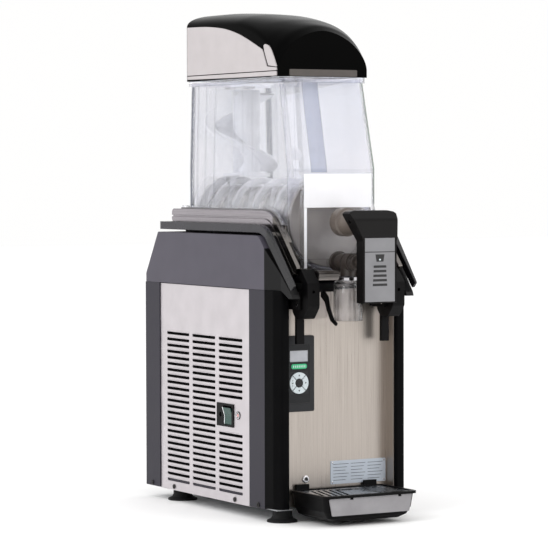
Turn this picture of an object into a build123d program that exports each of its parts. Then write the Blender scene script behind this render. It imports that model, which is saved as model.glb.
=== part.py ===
from build123d import *
import math
import os

# Counter-top slush machine with one bowl. Millimetres.
# +X is the machine's right seen from the front, the front faces -Y, +Z is up.
# Origin: centre of the overall box, at the level that the feet stand on.

os.makedirs("parts", exist_ok=True)

# ---------------------------------------------------------------- driving dimensions
HALF_W = 126.0          # outer face of the side covers
REAR_Y = 276.0          # outer face of the rear cover
BASE_Z = 20.0           # underside of the base pan
WAIST_Z = 372.0         # joint between the side covers and the hood
HOOD_TOP = 459.0
SKIN = 3.0              # wall of the plastic covers
COLUMN_Y = -174.0       # front face of the corner columns
COLUMN_IN = 100.0       # inner face of the corner columns
SIDE_FRONT_Y = -137.0   # where the flat side turns into the corner column
PANEL_Y = -146.0        # front face of the recessed steel panel
FOOT_X = 100.0
FOOT_FRONT_Y = -148.0
FOOT_REAR_Y = 192.0

LOUVER_PITCH = 10.44
LOUVER_ROWS = 25
LOUVER_FIRST_Z = 36.5
LOUVER_H = 5.2
LOUVER_W = 80.0
LOUVER_COLUMNS = (161.0, 70.0, -21.5)
SWITCH_Y = -5.0
SWITCH_Z = 161.8
ROCKER_TILT = 8.0

AXIS_Z = 481.0          # axis of the freezing drum and its auger
DRUM_R = 56.0
AUGER_IN_R = 60.0
AUGER_OUT_R = 71.0
AUGER_PITCH = 70.0
TROUGH_R = 83.0         # outside of the bowl's round bottom
WALL = 3.5              # wall of the clear bowl
BOWL_FRONT_Y = -141.0
BOWL_REAR_Y = 200.0
BOWL_KNEE_Z = 566.0
BOWL_TOP_Z = 712.0
BOWL_TOP_HALF = 79.0
BOWL_TOP_FRONT_Y = -109.0
PAD_Y = -157.0          # front face of the raised pad that carries the tap
PAD_HALF = 64.0

RIM_CORNER = (-128.0, 476.5)
RIM_ANGLE = 48.0
RIM_T = 13.0
RIM_BAND_IN = 112.0     # inner face of the raised outer band of the rim
DECK_CORNER = (-113.0, 498.5)
DECK_ANGLE = 47.6
DECK_T = 23.5
DECK_HALF = 99.5

RISER_Y = 142.0         # axis of the upright auger
RISER_R = 52.0
RISER_TUBE_R = 23.5
RISER_PITCH = 130.0
RISER_FOOT_Z = 553.0
RISER_TOP_Z = 700.0
GEAR_R = 40.0

PIVOT_Y = -258.0        # handle pin
PIVOT_Z = 482.0
PISTON_Z = 416.0
PISTON_R = 7.0
SPOUT_Y = -188.0
SPOUT_R = 24.0

LATCH_IN = 69.0
LATCH_OUT = 91.0
LATCH_PIN_Y = -188.0
LATCH_PIN_Z = 350.0

TRAY_TOP = 50.0
TRAY_HALF = 87.0
TRAY_FRONT_Y = -260.0

LID_HALF = 84.0
LID_BOTTOM = 715.0

BEZEL_X = -69.5
KEYPAD_Z = 221.8
BELT_Y = 207.0
PULLEY_R = 12.0
MOTOR_Z = 350.0


# ---------------------------------------------------------------- helpers
def block(x0, x1, y0, y1, z0, z1, mode=Mode.ADD):
    """Box between two corners, added to the part that is open."""
    with Locations(((x0 + x1) / 2, (y0 + y1) / 2, (z0 + z1) / 2)):
        return Box(x1 - x0, y1 - y0, z1 - z0, mode=mode)


def rod_x(x0, x1, y, z, radius, mode=Mode.ADD):
    """Round bar along X."""
    with Locations(Location(((x0 + x1) / 2, y, z), (0, 90, 0))):
        return Cylinder(radius, x1 - x0, mode=mode)


def rod_y(y0, y1, x, z, radius, mode=Mode.ADD):
    """Round bar along Y."""
    with Locations(Location((x, (y0 + y1) / 2, z), (90, 0, 0))):
        return Cylinder(radius, y1 - y0, mode=mode)


def rod_z(z0, z1, x, y, radius, mode=Mode.ADD):
    """Round bar along Z."""
    with Locations((x, y, (z0 + z1) / 2)):
        return Cylinder(radius, z1 - z0, mode=mode)


def s_curve(rear_y, corner, angle, run, top, bottom):
    """Corners of a strip that lies flat and then runs down at the front.

    top and bottom are distances below the reference line, which has its
    corner at the given point and falls forward at the given angle.
    """
    slope = math.radians(angle)
    half = math.tan(slope / 2)
    forward = (-math.cos(slope), -math.sin(slope))
    outward = (-math.sin(slope), math.cos(slope))
    ends = []
    for depth in (top, bottom):
        bend = (corner[0] + depth * half, corner[1] - depth)
        tip = (
            corner[0] + forward[0] * run - outward[0] * depth,
            corner[1] + forward[1] * run - outward[1] * depth,
        )
        ends.append(((rear_y, corner[1] - depth), bend, tip))
    upper, lower = ends
    return [upper[0], upper[1], upper[2], lower[2], lower[1], lower[0]]


def at_x(x):
    return Plane.YZ.offset(x)


def at_y(y):
    return Plane.XZ.offset(-y)


def at_z(z):
    return Plane.XY.offset(z)


# ---------------------------------------------------------------- base and feet
with BuildPart() as base_frame:
    block(-122.5, 122.5, PANEL_Y + 2, REAR_Y - 3, BASE_Z, BASE_Z + 2)
    for side in (-1, 1):
        x0, x1 = sorted((side * 92, side * 122.5))
        block(x0, x1, COLUMN_Y + 4, PANEL_Y + 2, BASE_Z, BASE_Z + 2)
    block(-99, 99, PANEL_Y + 4, PANEL_Y + 6, BASE_Z + 2, BASE_Z + 18)
    block(-117, 117, REAR_Y - 7, REAR_Y - 5, BASE_Z + 2, BASE_Z + 18)
    block(-116.0, 116.0, 150.0, 196.0, MOTOR_Z - 42, MOTOR_Z - 38.1)
    for x in (-116.0, 112.0):
        block(x, x + 4, 150.0, 196.0, BASE_Z + 2, MOTOR_Z - 42)
base_frame.part.label = "base_frame"
export_step(base_frame.part, "parts/base_frame.step")

with BuildPart() as feet:
    with BuildSketch(Plane.XZ):
        with BuildLine():
            FilletPolyline(
                (0, 0), (25, 0), (25, 2.5), (18, 6), (15.5, 10), (15.5, BASE_Z), (0, BASE_Z),
                radius=(0, 1.0, 1.0, 3.0, 2.0, 0, 0),
                close=True,
            )
        make_face()
    with Locations(*[(x, y, 0) for x in (-FOOT_X, FOOT_X) for y in (FOOT_FRONT_Y, FOOT_REAR_Y)]):
        add(revolve(axis=Axis.Z, mode=Mode.PRIVATE))
feet.part.label = "feet"
export_step(feet.part, "parts/feet.step")


# ---------------------------------------------------------------- side covers
with BuildPart() as side_frames:
    for side in (-1, 1):
        for y0, y1 in ((224.5, REAR_Y), (SIDE_FRONT_Y, -87.0)):
            x0, x1 = sorted((side * HALF_W, side * (HALF_W - SKIN)))
            block(x0, x1, y0, y1, BASE_Z, WAIST_Z)
        for y0, y1 in ((224.5, 227.5), (-90.0, -87.0), (REAR_Y - SKIN, REAR_Y)):
            x0, x1 = sorted((side * (HALF_W - SKIN), side * 118))
            block(x0, x1, y0, y1, BASE_Z + 2, WAIST_Z)
        for z0, z1 in ((BASE_Z + 2, 42.0), (352.0, WAIST_Z)):
            x0, x1 = sorted((side * 122.6, side * 118))
            block(x0, x1, -87.0, 224.5, z0, z1)
    for y in (251.7, -116.5):
        rod_x(-128.0, 128.0, y, 25.3, 2.1, mode=Mode.SUBTRACT)
side_frames.part.label = "side_frames"
export_step(side_frames.part, "parts/side_frames.step")

with BuildPart() as louver_panels:
    for side in (-1, 1):
        x0, x1 = sorted((side * 122.6, side * 124.0))
        block(x0, x1, -86.4, 223.9, BASE_Z - 1, WAIST_Z - 1)
    for column, centre_y in enumerate(LOUVER_COLUMNS):
        gap = range(10, 15) if column == 2 else ()
        rows = [row for row in range(LOUVER_ROWS) if row not in gap]
        spots = [(centre_y, LOUVER_FIRST_Z + LOUVER_PITCH * row) for row in rows]
        with BuildSketch(at_x(-125.0)):
            with Locations(*spots):
                SlotOverall(LOUVER_W, LOUVER_H)
        extrude(amount=250.0, mode=Mode.SUBTRACT)
    block(-125.0, -122.0, SWITCH_Y - 25, SWITCH_Y + 25, SWITCH_Z - 17, SWITCH_Z + 17, mode=Mode.SUBTRACT)
    rod_x(-125.0, -122.0, -47.5, 164.0, 4.1, mode=Mode.SUBTRACT)
    for y in (176.0, -35.6):
        rod_x(-125.0, 125.0, y, 25.3, 2.1, mode=Mode.SUBTRACT)
louver_panels.part.label = "louver_panels"
export_step(louver_panels.part, "parts/louver_panels.step")

with BuildPart() as corner_columns:
    for side in (-1, 1):
        with BuildSketch(at_z(BASE_Z + 2)):
            with BuildLine():
                FilletPolyline(
                    (side * HALF_W, SIDE_FRONT_Y - 0.3),
                    (side * (HALF_W - 3), -160.0),
                    (side * 115.5, COLUMN_Y),
                    (side * (COLUMN_IN + 0.3), COLUMN_Y),
                    (side * (COLUMN_IN + 0.3), SIDE_FRONT_Y - 0.3),
                    radius=(0, 12, 6, 4, 0),
                    close=True,
                )
            make_face()
        extrude(amount=WAIST_Z - BASE_Z - 2)
    for side in (-1, 1):
        with BuildSketch(at_z(BASE_Z + 2)):
            with BuildLine():
                FilletPolyline(
                    (side * (HALF_W - SKIN), SIDE_FRONT_Y - 0.3),
                    (side * (HALF_W - 6.2), -159.0),
                    (side * 113.5, COLUMN_Y + SKIN),
                    (side * (COLUMN_IN + 3.3), COLUMN_Y + SKIN),
                    (side * (COLUMN_IN + 3.3), SIDE_FRONT_Y - 0.3),
                    radius=(0, 9, 3, 2, 0),
                    close=True,
                )
            make_face()
        extrude(amount=WAIST_Z - BASE_Z - 5, mode=Mode.SUBTRACT)
corner_columns.part.label = "corner_columns"
export_step(corner_columns.part, "parts/corner_columns.step")


# ---------------------------------------------------------------- rear cover and gland
with BuildPart() as rear_cover:
    block(-117.8, 117.8, REAR_Y - 2, REAR_Y - 0.5, BASE_Z + 2, WAIST_Z)
    rear_rows = [LOUVER_FIRST_Z + 40 + LOUVER_PITCH * row for row in range(18)]
    with BuildSketch(at_y(REAR_Y)):
        with Locations(*[(x, z) for x in (-46.0, 46.0) for z in rear_rows]):
            SlotOverall(84.0, LOUVER_H)
    extrude(amount=4, mode=Mode.SUBTRACT)
    rod_y(REAR_Y - 4, REAR_Y, 75.0, 48.0, 8.1, mode=Mode.SUBTRACT)
    for x in (-110.0, 110.0):
        for z in (30.0, 360.0):
            rod_y(REAR_Y - 4, REAR_Y, x, z, 2.1, mode=Mode.SUBTRACT)
rear_cover.part.label = "rear_cover"
export_step(rear_cover.part, "parts/rear_cover.step")

with BuildPart() as cable_gland:
    rod_y(REAR_Y - 8, REAR_Y - 0.5, 75.0, 48.0, 8.0)
    with BuildSketch(at_y(REAR_Y - 0.5)):
        with Locations((75.0, 48.0)):
            RegularPolygon(13.0, 6)
    extrude(amount=-4)
    rod_y(REAR_Y + 3.5, REAR_Y + 8, 75.0, 48.0, 8.5)
    rod_y(REAR_Y - 8, REAR_Y + 8, 75.0, 48.0, 4.2, mode=Mode.SUBTRACT)
cable_gland.part.label = "cable_gland"
export_step(cable_gland.part, "parts/cable_gland.step")


# ---------------------------------------------------------------- front panel
with BuildPart() as front_panel:
    block(-98.5, 98.5, PANEL_Y, PANEL_Y + 1.5, BASE_Z + 2, 369.0)
    for side in (-1, 1):
        x0, x1 = sorted((side * 98.5, side * 100.0))
        block(x0, x1, COLUMN_Y + 6, PANEL_Y + 1.5, BASE_Z + 2, 369.0)
    block(-96.0, -43.0, PANEL_Y, PANEL_Y + 1.5, 180.0, 293.0, mode=Mode.SUBTRACT)
    rod_y(PANEL_Y, PANEL_Y + 1.5, -55.3, 65.6, 4.6, mode=Mode.SUBTRACT)
front_panel.part.label = "front_panel"
export_step(front_panel.part, "parts/front_panel.step")

with BuildPart() as panel_lock:
    rod_y(PANEL_Y - 2.5, PANEL_Y, -55.3, 65.6, 6.2)
    fillet(panel_lock.edges().filter_by(GeomType.CIRCLE).group_by(Axis.Y)[0], 1.2)
    rod_y(PANEL_Y, PANEL_Y + 12, -55.3, 65.6, 4.5)
    rod_y(PANEL_Y - 3, PANEL_Y - 0.5, -55.3, 65.6, 3.2, mode=Mode.SUBTRACT)
    block(-55.9, -54.7, PANEL_Y - 1.0, PANEL_Y + 3, 63.0, 68.2, mode=Mode.SUBTRACT)
panel_lock.part.label = "panel_lock"
export_step(panel_lock.part, "parts/panel_lock.step")


# ---------------------------------------------------------------- hood, rim and deck
with BuildPart() as hood:
    with BuildSketch(at_x(-HALF_W)):
        with BuildLine():
            FilletPolyline(
                (REAR_Y, WAIST_Z + 0.3),
                (REAR_Y, 383.0),
                (229.0, HOOD_TOP),
                (-118.0, HOOD_TOP),
                (-203.0, 366.5),
                (-206.0, 360.0),
                (-196.0, 360.0),
                (COLUMN_Y - 0.3, WAIST_Z + 0.3),
                radius=(0, 4, 4, 20, 1, 0, 0, 0),
                close=True,
            )
        make_face()
    extrude(amount=2 * HALF_W)
    with BuildSketch(at_z(350.0)):
        with BuildLine():
            FilletPolyline(
                (-HALF_W, REAR_Y), (HALF_W, REAR_Y), (HALF_W, SIDE_FRONT_Y), (117.0, COLUMN_Y),
                (113.0, -215.0), (-113.0, -215.0), (-117.0, COLUMN_Y), (-HALF_W, SIDE_FRONT_Y),
                radius=(3, 3, 10, 10, 2, 2, 10, 10),
                close=True,
            )
        make_face()
    extrude(amount=120, mode=Mode.INTERSECT)
    block(-COLUMN_IN, COLUMN_IN, -220.0, 222.0, 350.0, 470.0, mode=Mode.SUBTRACT)
    for side in (-1, 1):
        x0, x1 = sorted((side * 103.0, side * 122.5))
        block(x0, x1, -118.0, 222.0, 371.0, HOOD_TOP - 3.5, mode=Mode.SUBTRACT)
    with BuildSketch(at_x(-118.0)):
        with BuildLine():
            Polyline((225, 371), (272.5, 371), (272.5, 382), (228, HOOD_TOP - 4), (225, HOOD_TOP - 4), close=True)
        make_face()
    extrude(amount=236, mode=Mode.SUBTRACT)
hood.part.label = "hood"
export_step(hood.part, "parts/hood.step")

with BuildPart() as hood_rim:
    with BuildSketch(at_x(-121.0)):
        with BuildLine():
            FilletPolyline(
                *s_curve(238.0, RIM_CORNER, RIM_ANGLE, 128.0, 0.0, RIM_T),
                radius=(3, 52, 2, 2, 39, 2),
                close=True,
            )
        make_face()
    extrude(amount=242)
    with BuildSketch(at_z(340.0)):
        with BuildLine():
            FilletPolyline(
                (-121.0, 238.0), (121.0, 238.0), (121.0, -140.0), (113.5, -240.0),
                (-113.5, -240.0), (-121.0, -140.0),
                radius=(10, 10, 30, 2, 2, 30),
                close=True,
            )
        make_face()
    extrude(amount=150, mode=Mode.INTERSECT)
    with BuildSketch(at_x(-RIM_BAND_IN)):
        with BuildLine():
            Polyline(*s_curve(229.0, (-103.0, 468.0), 46.0, 220.0, -90.0, 0.0), close=True)
        make_face()
    extrude(amount=2 * RIM_BAND_IN, mode=Mode.SUBTRACT)
    block(-COLUMN_IN, COLUMN_IN, -250.0, 229.0, 340.0, 490.0, mode=Mode.SUBTRACT)
    block(-130, 130, -250.0, -110.0, 340.0, 364.0, mode=Mode.SUBTRACT)
hood_rim.part.label = "hood_rim"
export_step(hood_rim.part, "parts/hood_rim.step")

with BuildPart() as deck:
    with BuildSketch(at_x(-DECK_HALF)):
        with BuildLine():
            FilletPolyline(
                *s_curve(228.0, DECK_CORNER, DECK_ANGLE, 122.0, 0.0, DECK_T),
                radius=(8, 60, 2, 2, 36, 8),
                close=True,
            )
        make_face()
    extrude(amount=2 * DECK_HALF)
    block(-86.5, 86.5, -250.0, 203.4, 350.0, 510.0, mode=Mode.SUBTRACT)
    block(-92.5, 92.5, -250.0, -158.0, 350.0, 510.0, mode=Mode.SUBTRACT)
    block(-84.0, 84.0, 205.0, 225.0, 470.0, 496.5, mode=Mode.SUBTRACT)
    for x in (-DECK_HALF, DECK_HALF - 2.5):
        with BuildSketch(at_x(x)):
            with BuildLine():
                FilletPolyline(
                    *s_curve(230.0, DECK_CORNER, DECK_ANGLE, 130.0, 11.0, 13.5),
                    radius=(0, 48, 0, 0, 45, 0),
                    close=True,
                )
            make_face()
        extrude(amount=2.5, mode=Mode.SUBTRACT)
    with BuildSketch(at_y(205.0)):
        with Locations((0, AXIS_Z)):
            Circle(87.5)
            Circle(85.0, mode=Mode.SUBTRACT)
            with Locations((0, 50.0)):
                Rectangle(190.0, 112.0, mode=Mode.SUBTRACT)
    extrude(amount=344.5)
    with BuildSketch(at_y(205.0)):
        with Locations((0, AXIS_Z)):
            Circle(86.0)
            with Locations((0, 60.0)):
                Rectangle(190.0, 132.0, mode=Mode.SUBTRACT)
            Circle(12.0, mode=Mode.SUBTRACT)
    extrude(amount=1.6)
    rod_y(203.0, 206.0, 0.0, AXIS_Z, 12.0, mode=Mode.SUBTRACT)
deck.part.label = "deck"
export_step(deck.part, "parts/deck.step")

with BuildPart() as front_lip:
    with BuildSketch(at_x(-PAD_HALF)):
        with BuildLine():
            FilletPolyline(
                (-149.0, 388.0), (-203.0, 388.0), (-206.0, 400.0), (-200.0, 404.0), (-149.0, 402.0),
                radius=(0, 3, 2, 2, 0),
                close=True,
            )
        make_face()
    extrude(amount=2 * PAD_HALF)
    block(-27.0, 27.0, -210.0, -156.5, 380.0, 410.0, mode=Mode.SUBTRACT)
front_lip.part.label = "front_lip"
export_step(front_lip.part, "parts/front_lip.step")


# ---------------------------------------------------------------- bowl
def bowl_outline(z, inset):
    """Half width, front and rear of the bowl at a height, less an inset."""
    rise = max(0.0, z - BOWL_KNEE_Z) / (BOWL_TOP_Z - BOWL_KNEE_Z)
    half = TROUGH_R + (BOWL_TOP_HALF - TROUGH_R) * rise - inset
    front = BOWL_FRONT_Y + (BOWL_TOP_FRONT_Y - BOWL_FRONT_Y) * rise + inset
    return half, front, BOWL_REAR_Y - inset


with BuildPart() as bowl:
    half, front, rear = bowl_outline(BOWL_KNEE_Z, 0.0)
    rod_y(front, rear, 0.0, AXIS_Z, TROUGH_R)
    with BuildSketch(at_z(AXIS_Z)):
        with Locations((0, (front + rear) / 2)):
            RectangleRounded(2 * half, rear - front, 10)
    extrude(amount=BOWL_KNEE_Z - AXIS_Z)
    for z in (BOWL_KNEE_Z, BOWL_TOP_Z):
        half, front, rear = bowl_outline(z, 0.0)
        with BuildSketch(at_z(z)):
            with Locations((0, (front + rear) / 2)):
                RectangleRounded(2 * half, rear - front, 10)
    loft()
    block(-PAD_HALF, PAD_HALF, PAD_Y, BOWL_FRONT_Y + 1, 405.0, 560.0)
    half, front, rear = bowl_outline(BOWL_KNEE_Z, WALL)
    rod_y(front, rear, 0.0, AXIS_Z, TROUGH_R - WALL, mode=Mode.SUBTRACT)
    with BuildSketch(at_z(AXIS_Z)):
        with Locations((0, (front + rear) / 2)):
            RectangleRounded(2 * half, rear - front, 6.5)
    extrude(amount=BOWL_KNEE_Z - AXIS_Z, mode=Mode.SUBTRACT)
    for z in (BOWL_KNEE_Z, BOWL_TOP_Z):
        half, front, rear = bowl_outline(z, WALL)
        with BuildSketch(at_z(z)):
            with Locations((0, (front + rear) / 2)):
                RectangleRounded(2 * half, rear - front, 6.5)
    loft(mode=Mode.SUBTRACT)
    block(-60.5, 60.5, PAD_Y + WALL, BOWL_FRONT_Y + 6, 420.0, 556.5, mode=Mode.SUBTRACT)
    rod_y(BOWL_REAR_Y - 6, BOWL_REAR_Y + 1, 0.0, AXIS_Z, DRUM_R + 0.5, mode=Mode.SUBTRACT)
    rod_y(PAD_Y - 1, BOWL_FRONT_Y + 8, 0.0, PISTON_Z, 11.0, mode=Mode.SUBTRACT)
    for side in (-1, 1):
        with BuildSketch(at_x(min(side * (TROUGH_R - 0.5), side * 91.0))):
            with BuildLine():
                FilletPolyline(
                    *s_curve(206.0, DECK_CORNER, DECK_ANGLE, 32.0, -5.7, -2.5),
                    radius=(0, 65.7, 0, 0, 62.5, 0),
                    close=True,
                )
            make_face()
        extrude(amount=91.0 - TROUGH_R + 0.5)
bowl.part.label = "bowl"
export_step(bowl.part, "parts/bowl.step")

with BuildPart() as bowl_gasket:
    for x in (-93.0, 87.0):
        with BuildSketch(at_x(x)):
            with BuildLine():
                FilletPolyline(
                    *s_curve(206.0, DECK_CORNER, DECK_ANGLE, 32.0, -2.3, -0.3),
                    radius=(0, 62.3, 0, 0, 60.3, 0),
                    close=True,
                )
            make_face()
        extrude(amount=6.0)
    block(-93.0, 93.0, 203.5, 206.0, DECK_CORNER[1] + 0.1, DECK_CORNER[1] + 2.2)
bowl_gasket.part.label = "bowl_gasket"
export_step(bowl_gasket.part, "parts/bowl_gasket.step")

with BuildPart() as bowl_badge:
    block(-55.0, 62.0, PAD_Y - 0.7, PAD_Y, 503.5, 558.0)
bowl_badge.part.label = "bowl_badge"
export_step(bowl_badge.part, "parts/bowl_badge.step")


# ---------------------------------------------------------------- lid
LID_STATIONS = (
    # y, height of the side edge, height of the crown
    (200.0, 807.0, 830.0),
    (112.0, 804.5, 829.0),
    (28.0, 802.5, 823.0),
    (-30.0, 787.0, 814.0),
    (-70.0, 769.0, 806.0),
    (-95.0, 746.0, 799.0),
    (-111.0, 726.0, 790.0),
)


with BuildPart() as lid_cover:
    for y, edge_z, crown_z in LID_STATIONS:
        with BuildSketch(at_y(y)):
            with BuildLine():
                ThreePointArc((-LID_HALF, edge_z), (0, crown_z), (LID_HALF, edge_z))
                Polyline((LID_HALF, edge_z), (LID_HALF, LID_BOTTOM), (-LID_HALF, LID_BOTTOM), (-LID_HALF, edge_z))
            make_face()
    loft(ruled=True)
    for y, edge_z, crown_z in LID_STATIONS:
        inner_y = min(max(y, -107.5), 196.5)
        with BuildSketch(at_y(inner_y)):
            half = LID_HALF - 3.5
            with BuildLine():
                ThreePointArc((-half, edge_z - 4), (0, crown_z - 4), (half, edge_z - 4))
                Polyline((half, edge_z - 4), (half, LID_BOTTOM - 1), (-half, LID_BOTTOM - 1), (-half, edge_z - 4))
            make_face()
    loft(ruled=True, mode=Mode.SUBTRACT)
lid_cover.part.label = "lid_cover"
export_step(lid_cover.part, "parts/lid_cover.step")

with BuildPart() as lid_side_panels:
    for x in (-LID_HALF - 1.8, LID_HALF):
        with BuildSketch(at_x(x)):
            with BuildLine():
                Polyline(
                    (199.0, 724.0), (199.0, 806.0), (110.0, 803.5), (47.0, 795.0), (-20.0, 774.0),
                    (-60.0, 759.0), (-71.0, 736.0), (-71.0, 724.0),
                    close=True,
                )
            make_face()
            with BuildLine():
                Polyline((-62.0, 768.5), (-84.0, 756.0), (-103.0, 733.0), (-73.5, 733.0), (-73.5, 737.0), close=True)
            make_face()
        extrude(amount=1.8)
lid_side_panels.part.label = "lid_side_panels"
export_step(lid_side_panels.part, "parts/lid_side_panels.step")

with BuildPart() as lid_strip:
    block(-64.0, 64.0, -113.0, -111.2, 716.0, 727.0)
    fillet(lid_strip.edges().filter_by(Axis.Y), 2.0)
lid_strip.part.label = "lid_strip"
export_step(lid_strip.part, "parts/lid_strip.step")

with BuildPart() as lid_rim:
    with BuildSketch(at_z(706.0)):
        with Locations((0, 44.8)):
            RectangleRounded(167.0, 317.0, 11)
            RectangleRounded(161.4, 312.2, 8.5, mode=Mode.SUBTRACT)
    extrude(amount=LID_BOTTOM - 706.0)
    with Locations(*[(x, y, LID_BOTTOM - 1.2) for x in (-81.5, 81.5) for y in (-52, 36, 124)]):
        Box(6, 3, 2.4, mode=Mode.SUBTRACT)
lid_rim.part.label = "lid_rim"
export_step(lid_rim.part, "parts/lid_rim.step")


# ---------------------------------------------------------------- freezing drum and augers
with BuildPart() as freezing_drum:
    rod_y(-112.0, 203.0, 0.0, AXIS_Z, DRUM_R)
    fillet(freezing_drum.edges().filter_by(GeomType.CIRCLE).group_by(Axis.Y)[0], 8.0)
    rod_y(200.3, 203.0, 0.0, AXIS_Z, 68.0)
    rod_y(-108.0, 200.0, 0.0, AXIS_Z, DRUM_R - 2.0, mode=Mode.SUBTRACT)
    rod_y(-113.0, 205.0, 0.0, AXIS_Z, 12.0, mode=Mode.SUBTRACT)
freezing_drum.part.label = "freezing_drum"
export_step(freezing_drum.part, "parts/freezing_drum.step")

with BuildPart() as shaft_seal:
    rod_y(-116.0, -108.2, 0.0, AXIS_Z, 11.9)
    rod_y(199.9, 204.8, 0.0, AXIS_Z, 11.9)
    rod_y(-117.0, 205.0, 0.0, AXIS_Z, 8.05, mode=Mode.SUBTRACT)
shaft_seal.part.label = "shaft_seal"
export_step(shaft_seal.part, "parts/shaft_seal.step")

with BuildPart() as drive_shaft:
    rod_y(-134.0, 219.0, 0.0, AXIS_Z, 8.0)
drive_shaft.part.label = "drive_shaft"
export_step(drive_shaft.part, "parts/drive_shaft.step")

with BuildPart() as auger:
    spiral_start = -124.0
    spiral_length = 306.0
    mid_r = (AUGER_IN_R + AUGER_OUT_R) / 2
    with BuildLine() as spiral_line:
        Helix(AUGER_PITCH, spiral_length, mid_r, center=(0, spiral_start, AXIS_Z), direction=(0, 1, 0))
    spiral = spiral_line.line
    with BuildSketch(Plane(spiral @ 0, x_dir=(spiral @ 0) - Vector(0, spiral_start, AXIS_Z), z_dir=spiral % 0)):
        RectangleRounded(AUGER_OUT_R - AUGER_IN_R, 6.0, 2.0)
    sweep(path=spiral, is_frenet=True)
    rod_y(182.0, 188.0, 0.0, AXIS_Z, AUGER_OUT_R + 4.0)
    rod_y(181.9, 188.1, 0.0, AXIS_Z, AUGER_IN_R - 0.5, mode=Mode.SUBTRACT)
auger.part.label = "auger"
export_step(auger.part, "parts/auger.step")

with BuildPart() as auger_nose:
    with BuildSketch(Plane.YZ):
        with BuildLine():
            FilletPolyline(
                (-119.0, AXIS_Z), (-119.0, AXIS_Z + 14), (-123.0, AXIS_Z + 40), (-123.0, AXIS_Z + 74),
                (-128.0, AXIS_Z + 75), (-131.0, AXIS_Z + 40), (-134.5, AXIS_Z + 16), (-134.5, AXIS_Z),
                radius=(0, 2, 10, 2, 2, 20, 2, 0),
                close=True,
            )
        make_face()
    revolve(axis=Axis((0, 0, AXIS_Z), (0, 1, 0)))
    rod_y(-134.0, -110.0, 0.0, AXIS_Z, 8.0, mode=Mode.SUBTRACT)
auger_nose.part.label = "auger_nose"
export_step(auger_nose.part, "parts/auger_nose.step")

with BuildPart() as riser_auger:
    riser_height = RISER_TOP_Z - RISER_FOOT_Z - 16.0
    riser_mid_r = (RISER_TUBE_R + RISER_R) / 2
    with BuildLine() as riser_line:
        Helix(RISER_PITCH, riser_height, riser_mid_r, center=(0, RISER_Y, RISER_FOOT_Z + 10), lefthand=True)
    climb = riser_line.line
    with BuildSketch(Plane(climb @ 0, x_dir=(climb @ 0) - Vector(0, RISER_Y, RISER_FOOT_Z + 10), z_dir=climb % 0)):
        Rectangle(RISER_R - RISER_TUBE_R + 2, 4.0)
    sweep(path=climb, is_frenet=True)
    rod_z(RISER_FOOT_Z, RISER_TOP_Z, 0.0, RISER_Y, RISER_TUBE_R)
    rod_z(RISER_FOOT_Z, RISER_FOOT_Z + 6, 0.0, RISER_Y, GEAR_R)
    rod_z(RISER_FOOT_Z, RISER_TOP_Z, 0.0, RISER_Y, 8.05, mode=Mode.SUBTRACT)
riser_auger.part.label = "riser_auger"
export_step(riser_auger.part, "parts/riser_auger.step")

with BuildPart() as riser_post:
    rod_z(RISER_FOOT_Z, RISER_TOP_Z + 2.5, 0.0, RISER_Y, 8.0)
    block(-11.0, 11.0, RISER_Y - 11, BOWL_REAR_Y - WALL - 0.1, RISER_TOP_Z + 2.5, RISER_TOP_Z + 6.5)
riser_post.part.label = "riser_post"
export_step(riser_post.part, "parts/riser_post.step")


# ---------------------------------------------------------------- drive
with BuildPart() as shaft_pulley:
    rod_y(BELT_Y, BELT_Y + 12, 0.0, AXIS_Z, PULLEY_R)
    rod_y(BELT_Y - 1, BELT_Y + 13, 0.0, AXIS_Z, 8.0, mode=Mode.SUBTRACT)
shaft_pulley.part.label = "shaft_pulley"
export_step(shaft_pulley.part, "parts/shaft_pulley.step")

with BuildPart() as motor_pulley:
    rod_y(BELT_Y, BELT_Y + 12, 0.0, MOTOR_Z, PULLEY_R)
    rod_y(BELT_Y - 14, BELT_Y + 13, 0.0, MOTOR_Z, 6.0)
motor_pulley.part.label = "motor_pulley"
export_step(motor_pulley.part, "parts/motor_pulley.step")

with BuildPart() as drive_belt:
    with BuildSketch(at_y(BELT_Y + 10)):
        with Locations((0, (AXIS_Z + MOTOR_Z) / 2)):
            SlotCenterToCenter(AXIS_Z - MOTOR_Z, 2 * PULLEY_R + 5.0, rotation=90)
            SlotCenterToCenter(AXIS_Z - MOTOR_Z, 2 * PULLEY_R + 0.6, rotation=90, mode=Mode.SUBTRACT)
    extrude(amount=8)
drive_belt.part.label = "drive_belt"
export_step(drive_belt.part, "parts/drive_belt.step")

with BuildPart() as gearmotor:
    rod_y(85.0, 160.0, 0.0, MOTOR_Z, 34.0)
    block(-38.0, 38.0, 160.0, 196.0, MOTOR_Z - 38, MOTOR_Z + 36)
    fillet(gearmotor.edges().filter_by(Axis.Y), 6.0)
    rod_y(190.0, 197.0, 0.0, MOTOR_Z, 6.05, mode=Mode.SUBTRACT)
gearmotor.part.label = "gearmotor"
export_step(gearmotor.part, "parts/gearmotor.step")


# ---------------------------------------------------------------- refrigeration
with BuildPart() as compressor:
    rod_z(34.0, 190.0, -20.0, -50.0, 62.0)
    fillet(compressor.edges().filter_by(GeomType.CIRCLE), 24.0)
    block(-85.0, 45.0, -75.0, -25.0, BASE_Z + 2, 38.0)
compressor.part.label = "compressor"
export_step(compressor.part, "parts/compressor.step")

with BuildPart() as condenser:
    block(-100.0, 100.0, 228.0, 256.0, BASE_Z + 2, 230.0)
    for step in range(22):
        block(-94.0, 94.0, 227.0, 257.0, 34.0 + 9 * step, 38.0 + 9 * step, mode=Mode.SUBTRACT)
condenser.part.label = "condenser"
export_step(condenser.part, "parts/condenser.step")

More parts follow.
